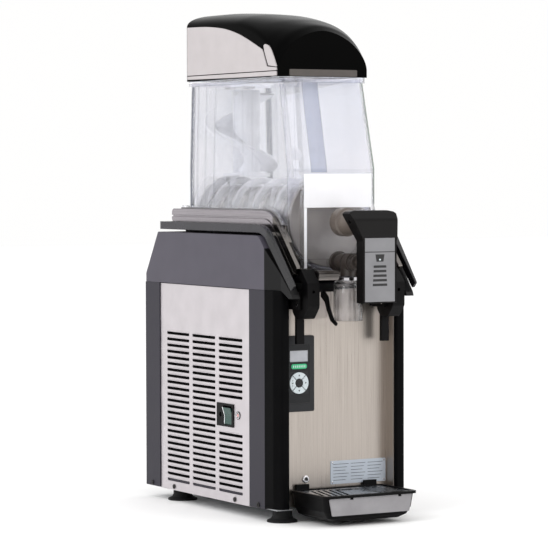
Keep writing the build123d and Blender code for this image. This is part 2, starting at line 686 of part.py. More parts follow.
FAN_Z = 125.0
with BuildPart() as fan_blade:
    rod_y(196.0, 208.0, 0.0, FAN_Z, 18.0)
    for turn in range(5):
        with Locations(Location((0, 202, FAN_Z), (0, 72.0 * turn, 0)) * Location((0, 0, 45), (0, 0, 28))):
            Box(34.0, 2.0, 62.0)
    rod_y(195.0, 206.0, 0.0, FAN_Z, 4.05, mode=Mode.SUBTRACT)
fan_blade.part.label = "fan_blade"
export_step(fan_blade.part, "parts/fan_blade.step")

with BuildPart() as fan_motor:
    rod_y(150.0, 190.0, 0.0, FAN_Z, 30.0)
    rod_y(190.0, 205.0, 0.0, FAN_Z, 4.0)
    block(-8.0, 8.0, 158.0, 182.0, BASE_Z + 2, FAN_Z - 20)
fan_motor.part.label = "fan_motor"
export_step(fan_motor.part, "parts/fan_motor.step")

with BuildPart() as circuit_board:
    block(-92.0, 40.0, -128.0, -126.4, 185.0, 288.0)
    block(-20.0, 8.0, -126.4, -108.0, 200.0, 228.0)
    rod_y(-126.4, -104.0, 25.0, 250.0, 11.0)
    for x, start in ((-88.0, -140.0), (36.0, -144.5)):
        for z in (190.0, 283.0):
            rod_y(start, -128.0, x, z, 2.5)
circuit_board.part.label = "circuit_board"
export_step(circuit_board.part, "parts/circuit_board.step")


# ---------------------------------------------------------------- control panel
with BuildPart() as control_bezel:
    block(-98.0, -41.0, PANEL_Y - 4.0, PANEL_Y, 175.5, 298.0)
    fillet(control_bezel.edges().filter_by(Axis.Y), 3.0)
    block(-95.0, -44.0, PANEL_Y, PANEL_Y + 6.0, 181.0, 292.0)
    block(-86.5, -52.5, PANEL_Y - 4.0, PANEL_Y - 1.5, 255.8, 274.2, mode=Mode.SUBTRACT)
    rod_y(PANEL_Y - 4.0, PANEL_Y - 0.2, BEZEL_X, KEYPAD_Z, 17.8, mode=Mode.SUBTRACT)
control_bezel.part.label = "control_bezel"
export_step(control_bezel.part, "parts/control_bezel.step")

with BuildPart() as display_window:
    block(-86.3, -52.7, PANEL_Y - 3.6, PANEL_Y - 1.6, 256.0, 274.0)
display_window.part.label = "display_window"
export_step(display_window.part, "parts/display_window.step")

for turn, name in enumerate(("key_up", "key_left", "key_down", "key_right")):
    with BuildPart() as key:
        with BuildSketch(at_y(PANEL_Y - 2.2)):
            with Locations((BEZEL_X, KEYPAD_Z)):
                Circle(17.3)
                Circle(7.3, mode=Mode.SUBTRACT)
            with BuildLine(Plane.XY.move(Location((BEZEL_X, KEYPAD_Z, 0), (0, 0, 90 * turn)))):
                Polyline((0, 0.9), (30, 30.9), (-30, 30.9), close=True)
            make_face(mode=Mode.INTERSECT)
        extrude(amount=2.6)
    key.part.label = name
    export_step(key.part, f"parts/{name}.step")

with BuildPart() as key_centre:
    rod_y(PANEL_Y - 5.2, PANEL_Y - 2.2, BEZEL_X, KEYPAD_Z, 6.4)
    fillet(key_centre.edges().filter_by(GeomType.CIRCLE).group_by(Axis.Y)[0], 0.8)
key_centre.part.label = "key_centre"
export_step(key_centre.part, "parts/key_centre.step")


# ---------------------------------------------------------------- power switch
with BuildPart() as switch_housing:
    block(-125.6, -124.0, SWITCH_Y - 28, SWITCH_Y + 28, SWITCH_Z - 19, SWITCH_Z + 19)
    block(-124.0, -98.0, SWITCH_Y - 24.5, SWITCH_Y + 24.5, SWITCH_Z - 16.5, SWITCH_Z + 16.5)
    block(-125.6, -110.0, SWITCH_Y - 22, SWITCH_Y + 6, SWITCH_Z - 15.5, SWITCH_Z + 15.5, mode=Mode.SUBTRACT)
    rod_y(SWITCH_Y - 23.6, SWITCH_Y + 7.6, -118.0, SWITCH_Z, 1.7, mode=Mode.SUBTRACT)
    rod_x(-125.6, -123.6, SWITCH_Y + 15, SWITCH_Z, 4.0, mode=Mode.SUBTRACT)
switch_housing.part.label = "switch_housing"
export_step(switch_housing.part, "parts/switch_housing.step")

with BuildPart() as power_rocker:
    tilt = math.radians(ROCKER_TILT)
    across = (math.cos(tilt), 0, math.sin(tilt))
    with BuildSketch(Plane(origin=(-118.0, SWITCH_Y - 21.7, SWITCH_Z), x_dir=across, z_dir=(0, 1, 0))):
        with BuildLine():
            Polyline((-8.2, -14.0), (-6.0, 0.0), (-8.2, 14.0), (2.0, 9.0), (4.0, 0.0), (2.0, -9.0), close=True)
        make_face()
    extrude(amount=27.4)
    rod_y(SWITCH_Y - 23.2, SWITCH_Y + 7.2, -118.0, SWITCH_Z, 1.6)
power_rocker.part.label = "power_rocker"
export_step(power_rocker.part, "parts/power_rocker.step")

with BuildPart() as fuse_holder:
    rod_x(-125.0, -124.0, -47.5, 164.0, 6.5)
    rod_x(-124.0, -104.0, -47.5, 164.0, 4.0)
    block(-125.4, -124.6, -51.5, -43.5, 163.3, 164.7, mode=Mode.SUBTRACT)
fuse_holder.part.label = "fuse_holder"
export_step(fuse_holder.part, "parts/fuse_holder.step")


# ---------------------------------------------------------------- tap
with BuildPart() as handle_boss:
    with BuildSketch(Plane.YZ):
        with BuildLine():
            Polyline(
                (PAD_Y, PIVOT_Z - 2), (PAD_Y, 494), (-162, 494), (-162, 499), (-169, 499), (-169, 503),
                (-186, 503), (-188, 500), (-194, 500), (-228, 493), (-233, 489), (-233, PIVOT_Z - 2),
                close=True,
            )
        make_face()
    revolve(axis=Axis((0, 0, PIVOT_Z - 2), (0, 1, 0)))
    with BuildSketch(at_x(-11.0)):
        with BuildLine():
            Polyline((-232, 474), (-232, 485), (-252, 486), (PIVOT_Y, 488), (PIVOT_Y, 474), close=True)
        make_face()
        with Locations((PIVOT_Y, PIVOT_Z)):
            Circle(8.0)
    extrude(amount=22.0)
    rod_x(-12.0, 12.0, PIVOT_Y, PIVOT_Z, 3.0, mode=Mode.SUBTRACT)
handle_boss.part.label = "handle_boss"
export_step(handle_boss.part, "parts/handle_boss.step")

HANDLE_SIDE = (
    (-284.0, 354.0), (-284.0, 458.0), (-272.0, 486.0), (-258.0, 500.0), (-243.0, 500.0),
    (-241.0, 492.0), (-264.0, 452.0), (-264.0, 354.0),
)
with BuildPart() as tap_handle:
    with BuildSketch(at_x(-45.0)):
        with BuildLine():
            FilletPolyline(*HANDLE_SIDE, radius=(2, 14, 14, 5, 3, 3, 12, 2), close=True)
        make_face()
    extrude(amount=90.0)
    with BuildSketch(at_y(-230.0)):
        with BuildLine():
            Polyline(
                (-31.0, 350.0), (-31.0, 452.0), (-43.5, 495.0), (-40.0, 498.0), (0.0, 506.0), (40.0, 498.0),
                (43.5, 495.0), (31.0, 452.0), (31.0, 350.0),
                close=True,
            )
        make_face()
    extrude(amount=60.0, mode=Mode.INTERSECT)
    with BuildSketch(at_x(-27.0)):
        with BuildLine():
            Polyline(
                (-277.0, 467.0), (-270.0, 484.0), (-260.5, 494.0), (-230.0, 494.0),
                (-230.0, 440.0), (-262.0, 440.0), (-268.0, 456.0),
                close=True,
            )
        make_face()
    extrude(amount=54.0, mode=Mode.SUBTRACT)
    block(-13.0, 13.0, -277.0, -260.0, 394.0, 445.0, mode=Mode.SUBTRACT)
    block(-28.0, 28.0, -285.0, -281.8, 356.0, 457.0, mode=Mode.SUBTRACT)
    rod_x(-45.0, 45.0, PIVOT_Y, PIVOT_Z, 3.0, mode=Mode.SUBTRACT)
tap_handle.part.label = "tap_handle"
export_step(tap_handle.part, "parts/tap_handle.step")

with BuildPart() as handle_insert:
    block(-27.8, 27.8, -283.8, -281.8, 356.2, 456.8)
    block(-27.8, 27.8, -283.8, -283.2, 434.2, 435.4, mode=Mode.SUBTRACT)
    with BuildSketch(at_y(-283.0)):
        with Locations(*[(0, 383.0 + 7.2 * row) for row in range(5)]):
            Rectangle(24.0, 2.6)
    extrude(amount=2, mode=Mode.SUBTRACT)
handle_insert.part.label = "handle_insert"
export_step(handle_insert.part, "parts/handle_insert.step")

with BuildPart() as tap_barrel:
    for y0, y1, radius in ((-163, PAD_Y, 17.0), (-215, -163, 12.0), (-186, -172, 14.0), (-205, -190, 14.5)):
        rod_y(y0, y1, 0.0, PISTON_Z, radius)
    rod_y(PAD_Y, PAD_Y + WALL, 0.0, PISTON_Z, 10.9)
    for y in (-208.0, -212.0):
        rod_y(y - 1, y + 1, 0.0, PISTON_Z, 13.0)
    rod_z(394.0, PISTON_Z, 0.0, SPOUT_Y, 12.5)
    rod_y(-216, PAD_Y + WALL + 1, 0.0, PISTON_Z, 8.6, mode=Mode.SUBTRACT)
    rod_z(390.0, PISTON_Z, 0.0, SPOUT_Y, 8.0, mode=Mode.SUBTRACT)
    rod_y(-219, -214, 0.0, PISTON_Z, 12.0)
    rod_y(-220, -210, 0.0, PISTON_Z, PISTON_R + 0.05, mode=Mode.SUBTRACT)
tap_barrel.part.label = "tap_barrel"
export_step(tap_barrel.part, "parts/tap_barrel.step")

with BuildPart() as tap_piston:
    rod_y(-262.0, -172.0, 0.0, PISTON_Z, PISTON_R)
    rod_y(-186.0, -158.0, 0.0, PISTON_Z, 8.3)
    rod_y(-271.0, -262.0, 0.0, PISTON_Z, 9.0)
    fillet(tap_piston.edges().filter_by(GeomType.CIRCLE).group_by(Axis.Y)[0], 4.0)
tap_piston.part.label = "tap_piston"
export_step(tap_piston.part, "parts/tap_piston.step")

with BuildPart() as tap_spout:
    rod_z(322.0, 386.0, 0.0, SPOUT_Y, SPOUT_R)
    rod_z(386.0, 393.8, 0.0, SPOUT_Y, 15.0)
    rod_z(321.0, 383.0, 0.0, SPOUT_Y, SPOUT_R - 2.2, mode=Mode.SUBTRACT)
    rod_z(383.0, 394.0, 0.0, SPOUT_Y, 8.0, mode=Mode.SUBTRACT)
tap_spout.part.label = "tap_spout"
export_step(tap_spout.part, "parts/tap_spout.step")


# ---------------------------------------------------------------- bowl latches
with BuildPart() as latch_bar:
    block(-98.0, 98.0, -163.0, -151.0, 368.0, 383.0)
    for x in (-67.5, 63.5):
        block(x, x + 4.0, -196.0, -151.0, 342.0, 371.0)
    for x in (-96.0, 92.0):
        block(x, x + 4.0, -196.0, -151.0, 342.0, 371.0)
    rod_x(-99.0, 99.0, LATCH_PIN_Y, LATCH_PIN_Z, 3.0, mode=Mode.SUBTRACT)
    with BuildSketch(at_x(-31.0)):
        with BuildLine():
            Polyline(
                (-154, 369), (-163, 369), (-174, 360), (-178, 345), (-188, 328), (-201, 319),
                (-199, 315), (-184, 322), (-173, 338), (-166, 352), (-154, 360),
                close=True,
            )
        make_face()
    extrude(amount=3.5)
latch_bar.part.label = "latch_bar"
export_step(latch_bar.part, "parts/latch_bar.step")

with BuildPart() as hinge_pins:
    for x in (-96.0, 63.5):
        rod_x(x, x + 32.5, LATCH_PIN_Y, LATCH_PIN_Z, 2.98)
    rod_x(-36.0, 36.0, PIVOT_Y, PIVOT_Z, 2.95)
hinge_pins.part.label = "hinge_pins"
export_step(hinge_pins.part, "parts/hinge_pins.step")

for side, name in ((-1, "left"), (1, "right")):
    with BuildPart() as latch:
        x0, x1 = sorted((side * LATCH_IN, side * LATCH_OUT))
        with BuildSketch(at_x(x0)):
            with BuildLine():
                FilletPolyline(
                    (-214.0, 346.0), (-214.0, 384.0), (-193.0, 406.0), (-184.0, 406.0), (-184.0, 391.0),
                    (-197.0, 385.0), (-197.0, 372.0), (-178.0, 372.0), (-166.0, 360.0), (-166.0, 338.0),
                    (-176.0, 327.0), (-198.0, 327.0),
                    radius=(6, 3, 2, 2, 1, 2, 1, 5, 4, 6, 5, 10),
                    close=True,
                )
            make_face()
        extrude(amount=x1 - x0)
        lever_x0, lever_x1 = sorted((side * 73.0, side * 87.0))
        block(lever_x0, lever_x1, -173.0, -167.0, 286.0, 334.0)
        rod_x(x0, x1, LATCH_PIN_Y, LATCH_PIN_Z, 3.05, mode=Mode.SUBTRACT)
        rod_y(-215.0, -209.0, side * 80.0, 371.0, 2.6, mode=Mode.SUBTRACT)
    latch.part.label = f"{name}_latch"
    export_step(latch.part, f"parts/{name}_latch.step")


# ---------------------------------------------------------------- drip tray
with BuildPart() as drip_tray:
    for z, half, front in ((7.5, 62.0, -246.0), (13.0, 74.0, -251.0), (24.0, 81.0, -253.0), (46.0, 84.5, -254.5)):
        with BuildSketch(at_z(z)):
            with Locations((0, (front - 149.0) / 2)):
                RectangleRounded(2 * half, -149.0 - front, 8)
    loft(ruled=True)
    with BuildSketch(at_z(46.0)):
        with Locations((0, (TRAY_FRONT_Y - 149.0) / 2)):
            RectangleRounded(2 * TRAY_HALF, -149.0 - TRAY_FRONT_Y, 9)
    extrude(amount=TRAY_TOP - 46.0)
    with BuildSketch(at_z(TRAY_TOP)):
        with Locations((0, -202.5)):
            RectangleRounded(164.0, 99.0, 6)
    extrude(amount=-4.0, mode=Mode.SUBTRACT)
    for z, half, front in ((10.5, 60.0, -243.0), (46.0, 79.0, -249.0)):
        with BuildSketch(at_z(z)):
            with Locations((0, (front - 155.0) / 2)):
                RectangleRounded(2 * half, -155.0 - front, 6)
    loft(mode=Mode.SUBTRACT)
    for x in (-76.0, 52.0):
        block(x, x + 24, -152.5, -149.0, 46.0, 58.0)
drip_tray.part.label = "drip_tray"
export_step(drip_tray.part, "parts/drip_tray.step")

with BuildPart() as tray_trim:
    with BuildSketch(at_y(-255.2)):
        with BuildLine():
            FilletPolyline((-72.0, 18.0), (72.0, 18.0), (77.5, 45.5), (-77.5, 45.5), radius=2.0, close=True)
        make_face()
    extrude(amount=2.0)
    for x in (-36.0, 54.0):
        block(x - 3, x + 3, -258.0, -255.0, 42.5, 46.0, mode=Mode.SUBTRACT)
tray_trim.part.label = "tray_trim"
export_step(tray_trim.part, "parts/tray_trim.step")

with BuildPart() as drip_grid:
    with BuildSketch(at_z(46.2)):
        with Locations((0, -202.5)):
            RectangleRounded(163.0, 98.0, 5.5)
    extrude(amount=2.0)
    with BuildSketch(at_z(46.2)):
        for side in (-1, 1):
            with Locations(*[(side * (22.0 + 11.0 * step), -202.5) for step in range(5)]):
                SlotOverall(78.0, 5.0, rotation=90 + 14 * side)
        with Locations((0, -176.0)):
            Ellipse(15.0, 9.0)
    extrude(amount=2.0, mode=Mode.SUBTRACT)
drip_grid.part.label = "drip_grid"
export_step(drip_grid.part, "parts/drip_grid.step")


# ---------------------------------------------------------------- fasteners
with BuildPart() as cover_screws:
    for side in (-1, 1):
        for face, y in ((HALF_W, 251.7), (HALF_W, -116.5), (124.0, 176.0), (124.0, -35.6)):
            x0, x1 = sorted((side * face, side * (face + 1.6)))
            rod_x(x0, x1, y, 25.3, 4.0)
            x0, x1 = sorted((side * (face - 1.3), side * face))
            rod_x(x0, x1, y, 25.3, 2.0)
            x0, x1 = sorted((side * (face + 0.8), side * (face + 1.6)))
            block(x0, x1, y - 2.4, y + 2.4, 24.8, 25.8, mode=Mode.SUBTRACT)
            block(x0, x1, y - 0.5, y + 0.5, 22.9, 27.7, mode=Mode.SUBTRACT)
cover_screws.part.label = "cover_screws"
export_step(cover_screws.part, "parts/cover_screws.step")
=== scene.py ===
import math

import bmesh
import bpy
from mathutils import Matrix, Vector


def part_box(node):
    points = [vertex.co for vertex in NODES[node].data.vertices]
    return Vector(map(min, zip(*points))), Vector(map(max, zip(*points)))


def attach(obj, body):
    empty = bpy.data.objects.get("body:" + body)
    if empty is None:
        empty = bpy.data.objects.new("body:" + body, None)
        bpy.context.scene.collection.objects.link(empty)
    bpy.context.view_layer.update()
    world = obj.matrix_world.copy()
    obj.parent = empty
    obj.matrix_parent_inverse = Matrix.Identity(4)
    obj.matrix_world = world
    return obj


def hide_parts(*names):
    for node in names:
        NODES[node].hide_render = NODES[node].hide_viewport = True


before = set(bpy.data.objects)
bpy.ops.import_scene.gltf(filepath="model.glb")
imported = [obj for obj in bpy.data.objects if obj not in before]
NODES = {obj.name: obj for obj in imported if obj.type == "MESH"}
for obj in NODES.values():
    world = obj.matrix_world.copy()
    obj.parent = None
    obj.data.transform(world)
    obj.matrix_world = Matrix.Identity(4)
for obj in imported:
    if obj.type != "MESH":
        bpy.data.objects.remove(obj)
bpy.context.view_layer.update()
MM = 0.001
scene = bpy.context.scene
scene.view_settings.view_transform = "Standard"
scene.view_settings.look = "None"


# ------------------------------------------------------------------ camera
CAMERA_PLACE = Vector((-2.2641, -3.8674, 0.5657))
CAMERA_FORWARD = Vector((0.50004, 0.86513, -0.03898))
CAMERA_ROLL = math.radians(-0.14)
CAMERA_LENS = 176.8

camera_data = bpy.data.cameras.new("camera")
camera_data.lens = CAMERA_LENS
camera_data.sensor_width = 36.0
camera_data.clip_start = 0.1
camera_data.clip_end = 60.0
camera = bpy.data.objects.new("camera", camera_data)
scene.collection.objects.link(camera)
camera.rotation_mode = "QUATERNION"
camera.location = CAMERA_PLACE
look = CAMERA_FORWARD.to_track_quat("-Z", "Y")
camera.rotation_quaternion = look @ Matrix.Rotation(CAMERA_ROLL, 3, "Z").to_quaternion()
scene.camera = camera


# ------------------------------------------------------------------ materials
def srgb(r, g, b):
    """Linear colour of an 8-bit display colour."""
    out = []
    for value in (r, g, b):
        c = value / 255
        out.append(c / 12.92 if c <= 0.04045 else ((c + 0.055) / 1.055) ** 2.4)
    return (*out, 1.0)


def node(tree, kind, **values):
    made = tree.nodes.new(kind)
    for key, value in values.items():
        setattr(made, key, value)
    return made


def surface(
    name, colour, second=None, rough=(0.35, 0.5), metallic=0.0, grain=(60, 60, 60), detail=4.0,
    bump=0.15, bump_grain=None, bump_size=0.0002, edge=0.0006, **sockets
):
    """A procedural finish: colour and roughness wander with a noise, and a finer noise is the relief."""
    m = bpy.data.materials.new(name)
    m.use_nodes = True
    tree = m.node_tree
    tree.nodes.clear()
    out = node(tree, "ShaderNodeOutputMaterial")
    shader = node(tree, "ShaderNodeBsdfPrincipled")
    tree.links.new(shader.outputs["BSDF"], out.inputs["Surface"])
    shader.inputs["Metallic"].default_value = metallic
    for key, value in sockets.items():
        shader.inputs[key.replace("_", " ")].default_value = value

    place = node(tree, "ShaderNodeTexCoord")
    stretch = node(tree, "ShaderNodeMapping")
    stretch.inputs["Scale"].default_value = grain
    tree.links.new(place.outputs["Object"], stretch.inputs["Vector"])
    noise = node(tree, "ShaderNodeTexNoise")
    noise.inputs["Scale"].default_value = 1.0
    noise.inputs["Detail"].default_value = detail
    tree.links.new(stretch.outputs["Vector"], noise.inputs["Vector"])

    ramp = node(tree, "ShaderNodeValToRGB")
    ramp.color_ramp.elements[0].position = 0.3
    ramp.color_ramp.elements[1].position = 0.72
    ramp.color_ramp.elements[0].color = colour
    ramp.color_ramp.elements[1].color = second or tuple(min(1.0, c * 1.12) for c in colour[:3]) + (1.0,)
    tree.links.new(noise.outputs["Fac"], ramp.inputs["Fac"])
    tree.links.new(ramp.outputs["Color"], shader.inputs["Base Color"])

    reach = node(tree, "ShaderNodeMapRange")
    reach.inputs["From Min"].default_value = 0.3
    reach.inputs["From Max"].default_value = 0.7
    reach.inputs["To Min"].default_value = rough[0]
    reach.inputs["To Max"].default_value = rough[1]
    tree.links.new(noise.outputs["Fac"], reach.inputs["Value"])
    tree.links.new(reach.outputs["Result"], shader.inputs["Roughness"])

    rounded = node(tree, "ShaderNodeBevel", samples=4)
    rounded.inputs["Radius"].default_value = edge
    if bump:
        fine = node(tree, "ShaderNodeMapping")
        fine.inputs["Scale"].default_value = bump_grain or (900, 900, 900)
        tree.links.new(place.outputs["Object"], fine.inputs["Vector"])
        relief = node(tree, "ShaderNodeTexNoise")
        relief.inputs["Scale"].default_value = 1.0
        relief.inputs["Detail"].default_value = 2.0
        tree.links.new(fine.outputs["Vector"], relief.inputs["Vector"])
        lift = node(tree, "ShaderNodeBump")
        lift.inputs["Strength"].default_value = bump
        lift.inputs["Distance"].default_value = bump_size
        tree.links.new(relief.outputs["Fac"], lift.inputs["Height"])
        tree.links.new(rounded.outputs["Normal"], lift.inputs["Normal"])
        tree.links.new(lift.outputs["Normal"], shader.inputs["Normal"])
    else:
        tree.links.new(rounded.outputs["Normal"], shader.inputs["Normal"])
    return m


FINE = (1400, 1400, 1400)
UPRIGHT = (1100, 1100, 9)
ALONG_X = (9, 1100, 1100)
ALONG_Y = (1100, 9, 1100)

COVER = surface("cover_grey_paint", srgb(46, 44, 52), srgb(52, 50, 58), (0.42, 0.52), grain=(25, 25, 25),
                bump=0.22, bump_grain=FINE, Specular_IOR_Level=0.18)
HOOD_PAINT = surface("hood_grey_paint", srgb(72, 69, 79), srgb(80, 77, 87), (0.34, 0.44),
                     grain=(25, 25, 25), bump=0.15, bump_grain=FINE, edge=0.0012, Specular_IOR_Level=0.2)
GLOSS = surface("gloss_black_moulding", srgb(0, 0, 0), srgb(2, 2, 2), (0.20, 0.27), grain=(18, 18, 18),
                bump=0.04, bump_grain=(300, 300, 300), edge=0.0012, Specular_IOR_Level=0.02)
# corner columns: much darker than the side frames' same plastic, painted shade for their front faces reading
# black
COLUMN_SHADED_BLACK = surface("column_painted_shade_moulding", srgb(4, 4, 5), srgb(8, 8, 9), (0.4, 0.5),
                       grain=(18, 18, 18), bump=0.12, bump_grain=FINE, edge=0.0012, Specular_IOR_Level=0.04)
RIM_PAINT = surface("rim_dark_moulding", srgb(26, 24, 31), srgb(36, 34, 42), (0.20, 0.30),
                    grain=(30, 30, 30), bump=0.08, bump_grain=FINE, edge=0.0022, Specular_IOR_Level=0.45)
BLACK = surface("black_moulding", srgb(3, 3, 4), srgb(8, 7, 8), (0.36, 0.5), grain=(40, 40, 40),
                bump=0.25, bump_grain=FINE, edge=0.0010, Specular_IOR_Level=0.10)
CAP_BLACK = surface("lever_cap_black", srgb(7, 6, 6), srgb(12, 10, 10), (0.30, 0.40), grain=(35, 35, 35),
                    bump=0.12, bump_grain=FINE, edge=0.0016, Specular_IOR_Level=0.10)
CHARCOAL = surface("charcoal_moulding", srgb(26, 27, 30), srgb(34, 35, 38), (0.42, 0.55),
                   grain=(60, 60, 60), bump=0.3, bump_grain=(2200, 2200, 2200), edge=0.0012,
                   Specular_IOR_Level=0.3)
BEZEL_FACE = surface("bezel_face_black", srgb(22, 23, 25), srgb(30, 31, 34), (0.4, 0.52),
                     grain=(60, 60, 60), bump=0.2, bump_grain=(2200, 2200, 2200), Specular_IOR_Level=0.25)
RUBBER = surface("black_rubber", srgb(12, 12, 13), srgb(22, 22, 23), (0.6, 0.78), grain=(70, 70, 70),
                 bump=0.3, bump_grain=(700, 700, 700), edge=0.0008, Specular_IOR_Level=0.25)
GASKET = surface("grey_rubber", srgb(120, 118, 120), srgb(136, 134, 136), (0.5, 0.65), grain=(70, 70, 70),
                 bump=0.2, bump_grain=(700, 700, 700), edge=0.0006)
PANEL_STEEL = surface("front_brushed_steel", srgb(164, 156, 149), srgb(182, 174, 167), (0.26, 0.40), 1.0,
                      grain=UPRIGHT, bump=0.08, bump_grain=(2600, 2600, 12), edge=0.0004)
SIDE_STEEL = surface("side_satin_steel", srgb(203, 198, 201), srgb(214, 209, 212), (0.42, 0.55), 1.0,
                     grain=(300, 30, 30), bump=0.06, bump_grain=(2400, 60, 2400), edge=0.0005)
DECK_STEEL = surface("deck_brushed_steel", srgb(148, 143, 148), srgb(168, 163, 167), (0.16, 0.28), 1.0,
                     grain=ALONG_Y, bump=0.06, bump_grain=(2400, 12, 2400), edge=0.0012)
LIP_STEEL = surface("lip_brushed_steel", srgb(120, 115, 112), srgb(142, 137, 134), (0.22, 0.34), 1.0,
                    grain=ALONG_X, bump=0.08, bump_grain=(12, 2400, 2400), edge=0.0008)
GRID_STEEL = surface("grid_steel", srgb(132, 136, 142), srgb(158, 162, 168), (0.22, 0.36), 1.0,
                     grain=(60, 60, 60), bump=0.06, bump_grain=FINE)
BRIGHT_STEEL = surface("polished_steel", srgb(205, 203, 202), srgb(220, 218, 217), (0.12, 0.22), 1.0,
                       grain=(40, 40, 40), bump=0.05, bump_grain=FINE)
CHROME = surface("chrome_plate", srgb(190, 189, 192), srgb(215, 214, 217), (0.08, 0.16), 1.0,
                 grain=(120, 120, 120), bump=0.04, bump_grain=FINE, edge=0.0004)
DARK_CHROME = surface("blackened_screw", srgb(22, 20, 20), srgb(44, 42, 41), (0.25, 0.4), 0.7,
                      grain=(300, 300, 300), bump=0.1, edge=0.0003)
ZINC = surface("galvanised_sheet", srgb(150, 152, 155), srgb(184, 186, 188), (0.35, 0.55), 1.0,
               grain=(90, 90, 90), bump=0.12, bump_grain=(160, 160, 160))
WHITE = surface("white_moulding", srgb(240, 241, 245), srgb(247, 248, 252), (0.22, 0.34), grain=(25, 25, 25),
                bump=0.05, bump_grain=(500, 500, 500), edge=0.0020)
PLATE_WHITE = surface("white_plate", srgb(236, 236, 240), srgb(244, 244, 248), (0.4, 0.5),
                      grain=(20, 20, 20), bump=0.05, bump_grain=(500, 500, 500), edge=0.0006)
KEY_WHITE = surface("key_pale_grey", srgb(196, 206, 210), srgb(208, 218, 222), (0.4, 0.52),
                    grain=(90, 90, 90), bump=0.12, bump_grain=FINE, edge=0.0005)
SHELL_GREY = surface("warm_grey_moulding", srgb(180, 174, 175), srgb(188, 182, 183), (0.34, 0.46),
                     grain=(30, 30, 30), bump=0.10, bump_grain=FINE, edge=0.0010)
BEIGE_GREY = surface("beige_grey_moulding", srgb(160, 154, 147), srgb(174, 168, 161), (0.3, 0.42),
                     grain=(30, 30, 30), bump=0.10, bump_grain=FINE, edge=0.0012)
STRIP_GREY = surface("strip_brown_grey", srgb(58, 52, 48), srgb(70, 64, 60), (0.35, 0.48),
                     grain=(50, 50, 50), bump=0.12, bump_grain=FINE)
INSERT_GREY = surface("lever_face_grey", srgb(116, 116, 119), srgb(126, 126, 129), (0.4, 0.5),
                      grain=(30, 30, 30), bump=0.18, bump_grain=FINE, edge=0.0008)
BROWN_GREY = surface("brown_grey_moulding", srgb(90, 81, 75), srgb(106, 97, 90), (0.34, 0.46),
                     grain=(40, 40, 40), bump=0.15, bump_grain=FINE, edge=0.0014)
DARK_BROWN = surface("dark_brown_moulding", srgb(48, 42, 39), srgb(62, 55, 51), (0.35, 0.5),
                     grain=(60, 60, 60), bump=0.15, bump_grain=FINE, edge=0.0010)
TRIM_GREY = surface("tray_trim_grey", srgb(134, 132, 135), srgb(146, 144, 147), (0.36, 0.48),
                    grain=(40, 40, 40), bump=0.12, bump_grain=FINE)
MACHINE = surface("machine_enamel", srgb(24, 25, 27), srgb(40, 41, 44), (0.3, 0.5), grain=(50, 50, 50),
                  bump=0.2, bump_grain=(400, 400, 400))
# black sheet behind the louvre slots: painted shade
SLOT_SHADE = surface("black_slot_shade_sheet", srgb(2, 2, 2), srgb(7, 7, 7), (0.85, 0.95), grain=(800, 800, 800),
                 bump=0.6, bump_grain=(900, 900, 900), bump_size=0.0006, Specular_IOR_Level=0.05)
FINS = surface("finned_coil", srgb(168, 110, 74), srgb(188, 190, 192), (0.3, 0.5), 1.0,
               grain=(700, 4, 4), bump=0.4, bump_grain=(900, 4, 4), bump_size=0.0006)
BOARD = surface("circuit_green", srgb(22, 74, 50), srgb(30, 92, 62), (0.3, 0.45), grain=(300, 300, 300),
                bump=0.3, bump_grain=(500, 500, 500), bump_size=0.0005)
LCD = surface("lcd_glass", srgb(172, 174, 181), srgb(184, 186, 192), (0.10, 0.18), grain=(60, 60, 60),
              bump=0.02, edge=0.0004)
GREEN_LED = surface("green_window", srgb(44, 176, 118), srgb(62, 196, 136), (0.3, 0.4), grain=(90, 90, 90),
                    bump=0.05, edge=0.0004)
PLATE = surface("blank_plate_foil", srgb(178, 186, 197), srgb(190, 198, 208), (0.38, 0.5), 0.1,
                grain=(30, 30, 30), bump=0.06, bump_grain=FINE, edge=0.0003)
INK = surface("black_print", srgb(14, 14, 16), srgb(22, 22, 24), (0.45, 0.6), grain=(90, 90, 90),
              bump=0.08, edge=0.0003)
PINK = surface("pilot_lamp_cap", srgb(214, 150, 150), srgb(228, 170, 168), (0.15, 0.25),
               grain=(400, 400, 400), bump=0.04, edge=0.0004)


def two_tone_and_painted_shade(m, axis, at, low_a, low_b):
    """Another colour for the part of the surface that lies below a place along one axis of the object: real
    two-tone on the rocker, painted shade on the fronts of the hood, rim and deck.
    """
    tree = m.node_tree
    shader = next(n for n in tree.nodes if n.type == "BSDF_PRINCIPLED")
    noise = next(n for n in tree.nodes if n.type == "TEX_NOISE")
    place = next(n for n in tree.nodes if n.type == "TEX_COORD")
    high = shader.inputs["Base Color"].links[0].from_socket
    low = node(tree, "ShaderNodeValToRGB")
    low.color_ramp.elements[0].color = low_a
    low.color_ramp.elements[1].color = low_b
    tree.links.new(noise.outputs["Fac"], low.inputs["Fac"])
    parts = node(tree, "ShaderNodeSeparateXYZ")
    tree.links.new(place.outputs["Object"], parts.inputs["Vector"])
    step = node(tree, "ShaderNodeMath", operation="GREATER_THAN")
    step.inputs[1].default_value = at
    tree.links.new(parts.outputs[axis], step.inputs[0])
    mix = node(tree, "ShaderNodeMix", data_type="RGBA")
    tree.links.new(step.outputs["Value"], mix.inputs["Factor"])
    tree.links.new(low.outputs["Color"], mix.inputs["A"])
    tree.links.new(high, mix.inputs["B"])
    tree.links.new(mix.outputs["Result"], shader.inputs["Base Color"])
    return m


# the hood's front cheek, ahead of HOOD_FRONT, is near-black: painted shade for the front faces of the same
# grey moulding
HOOD_FRONT = -0.1365
two_tone_and_painted_shade(HOOD_PAINT, "Y", HOOD_FRONT, srgb(4, 4, 5), srgb(7, 6, 8))
# the deck's sloping front band, ahead of y -118 mm, is darkened: painted dark reflection
two_tone_and_painted_shade(DECK_STEEL, "Y", -0.118, srgb(98, 94, 92), srgb(120, 116, 112))
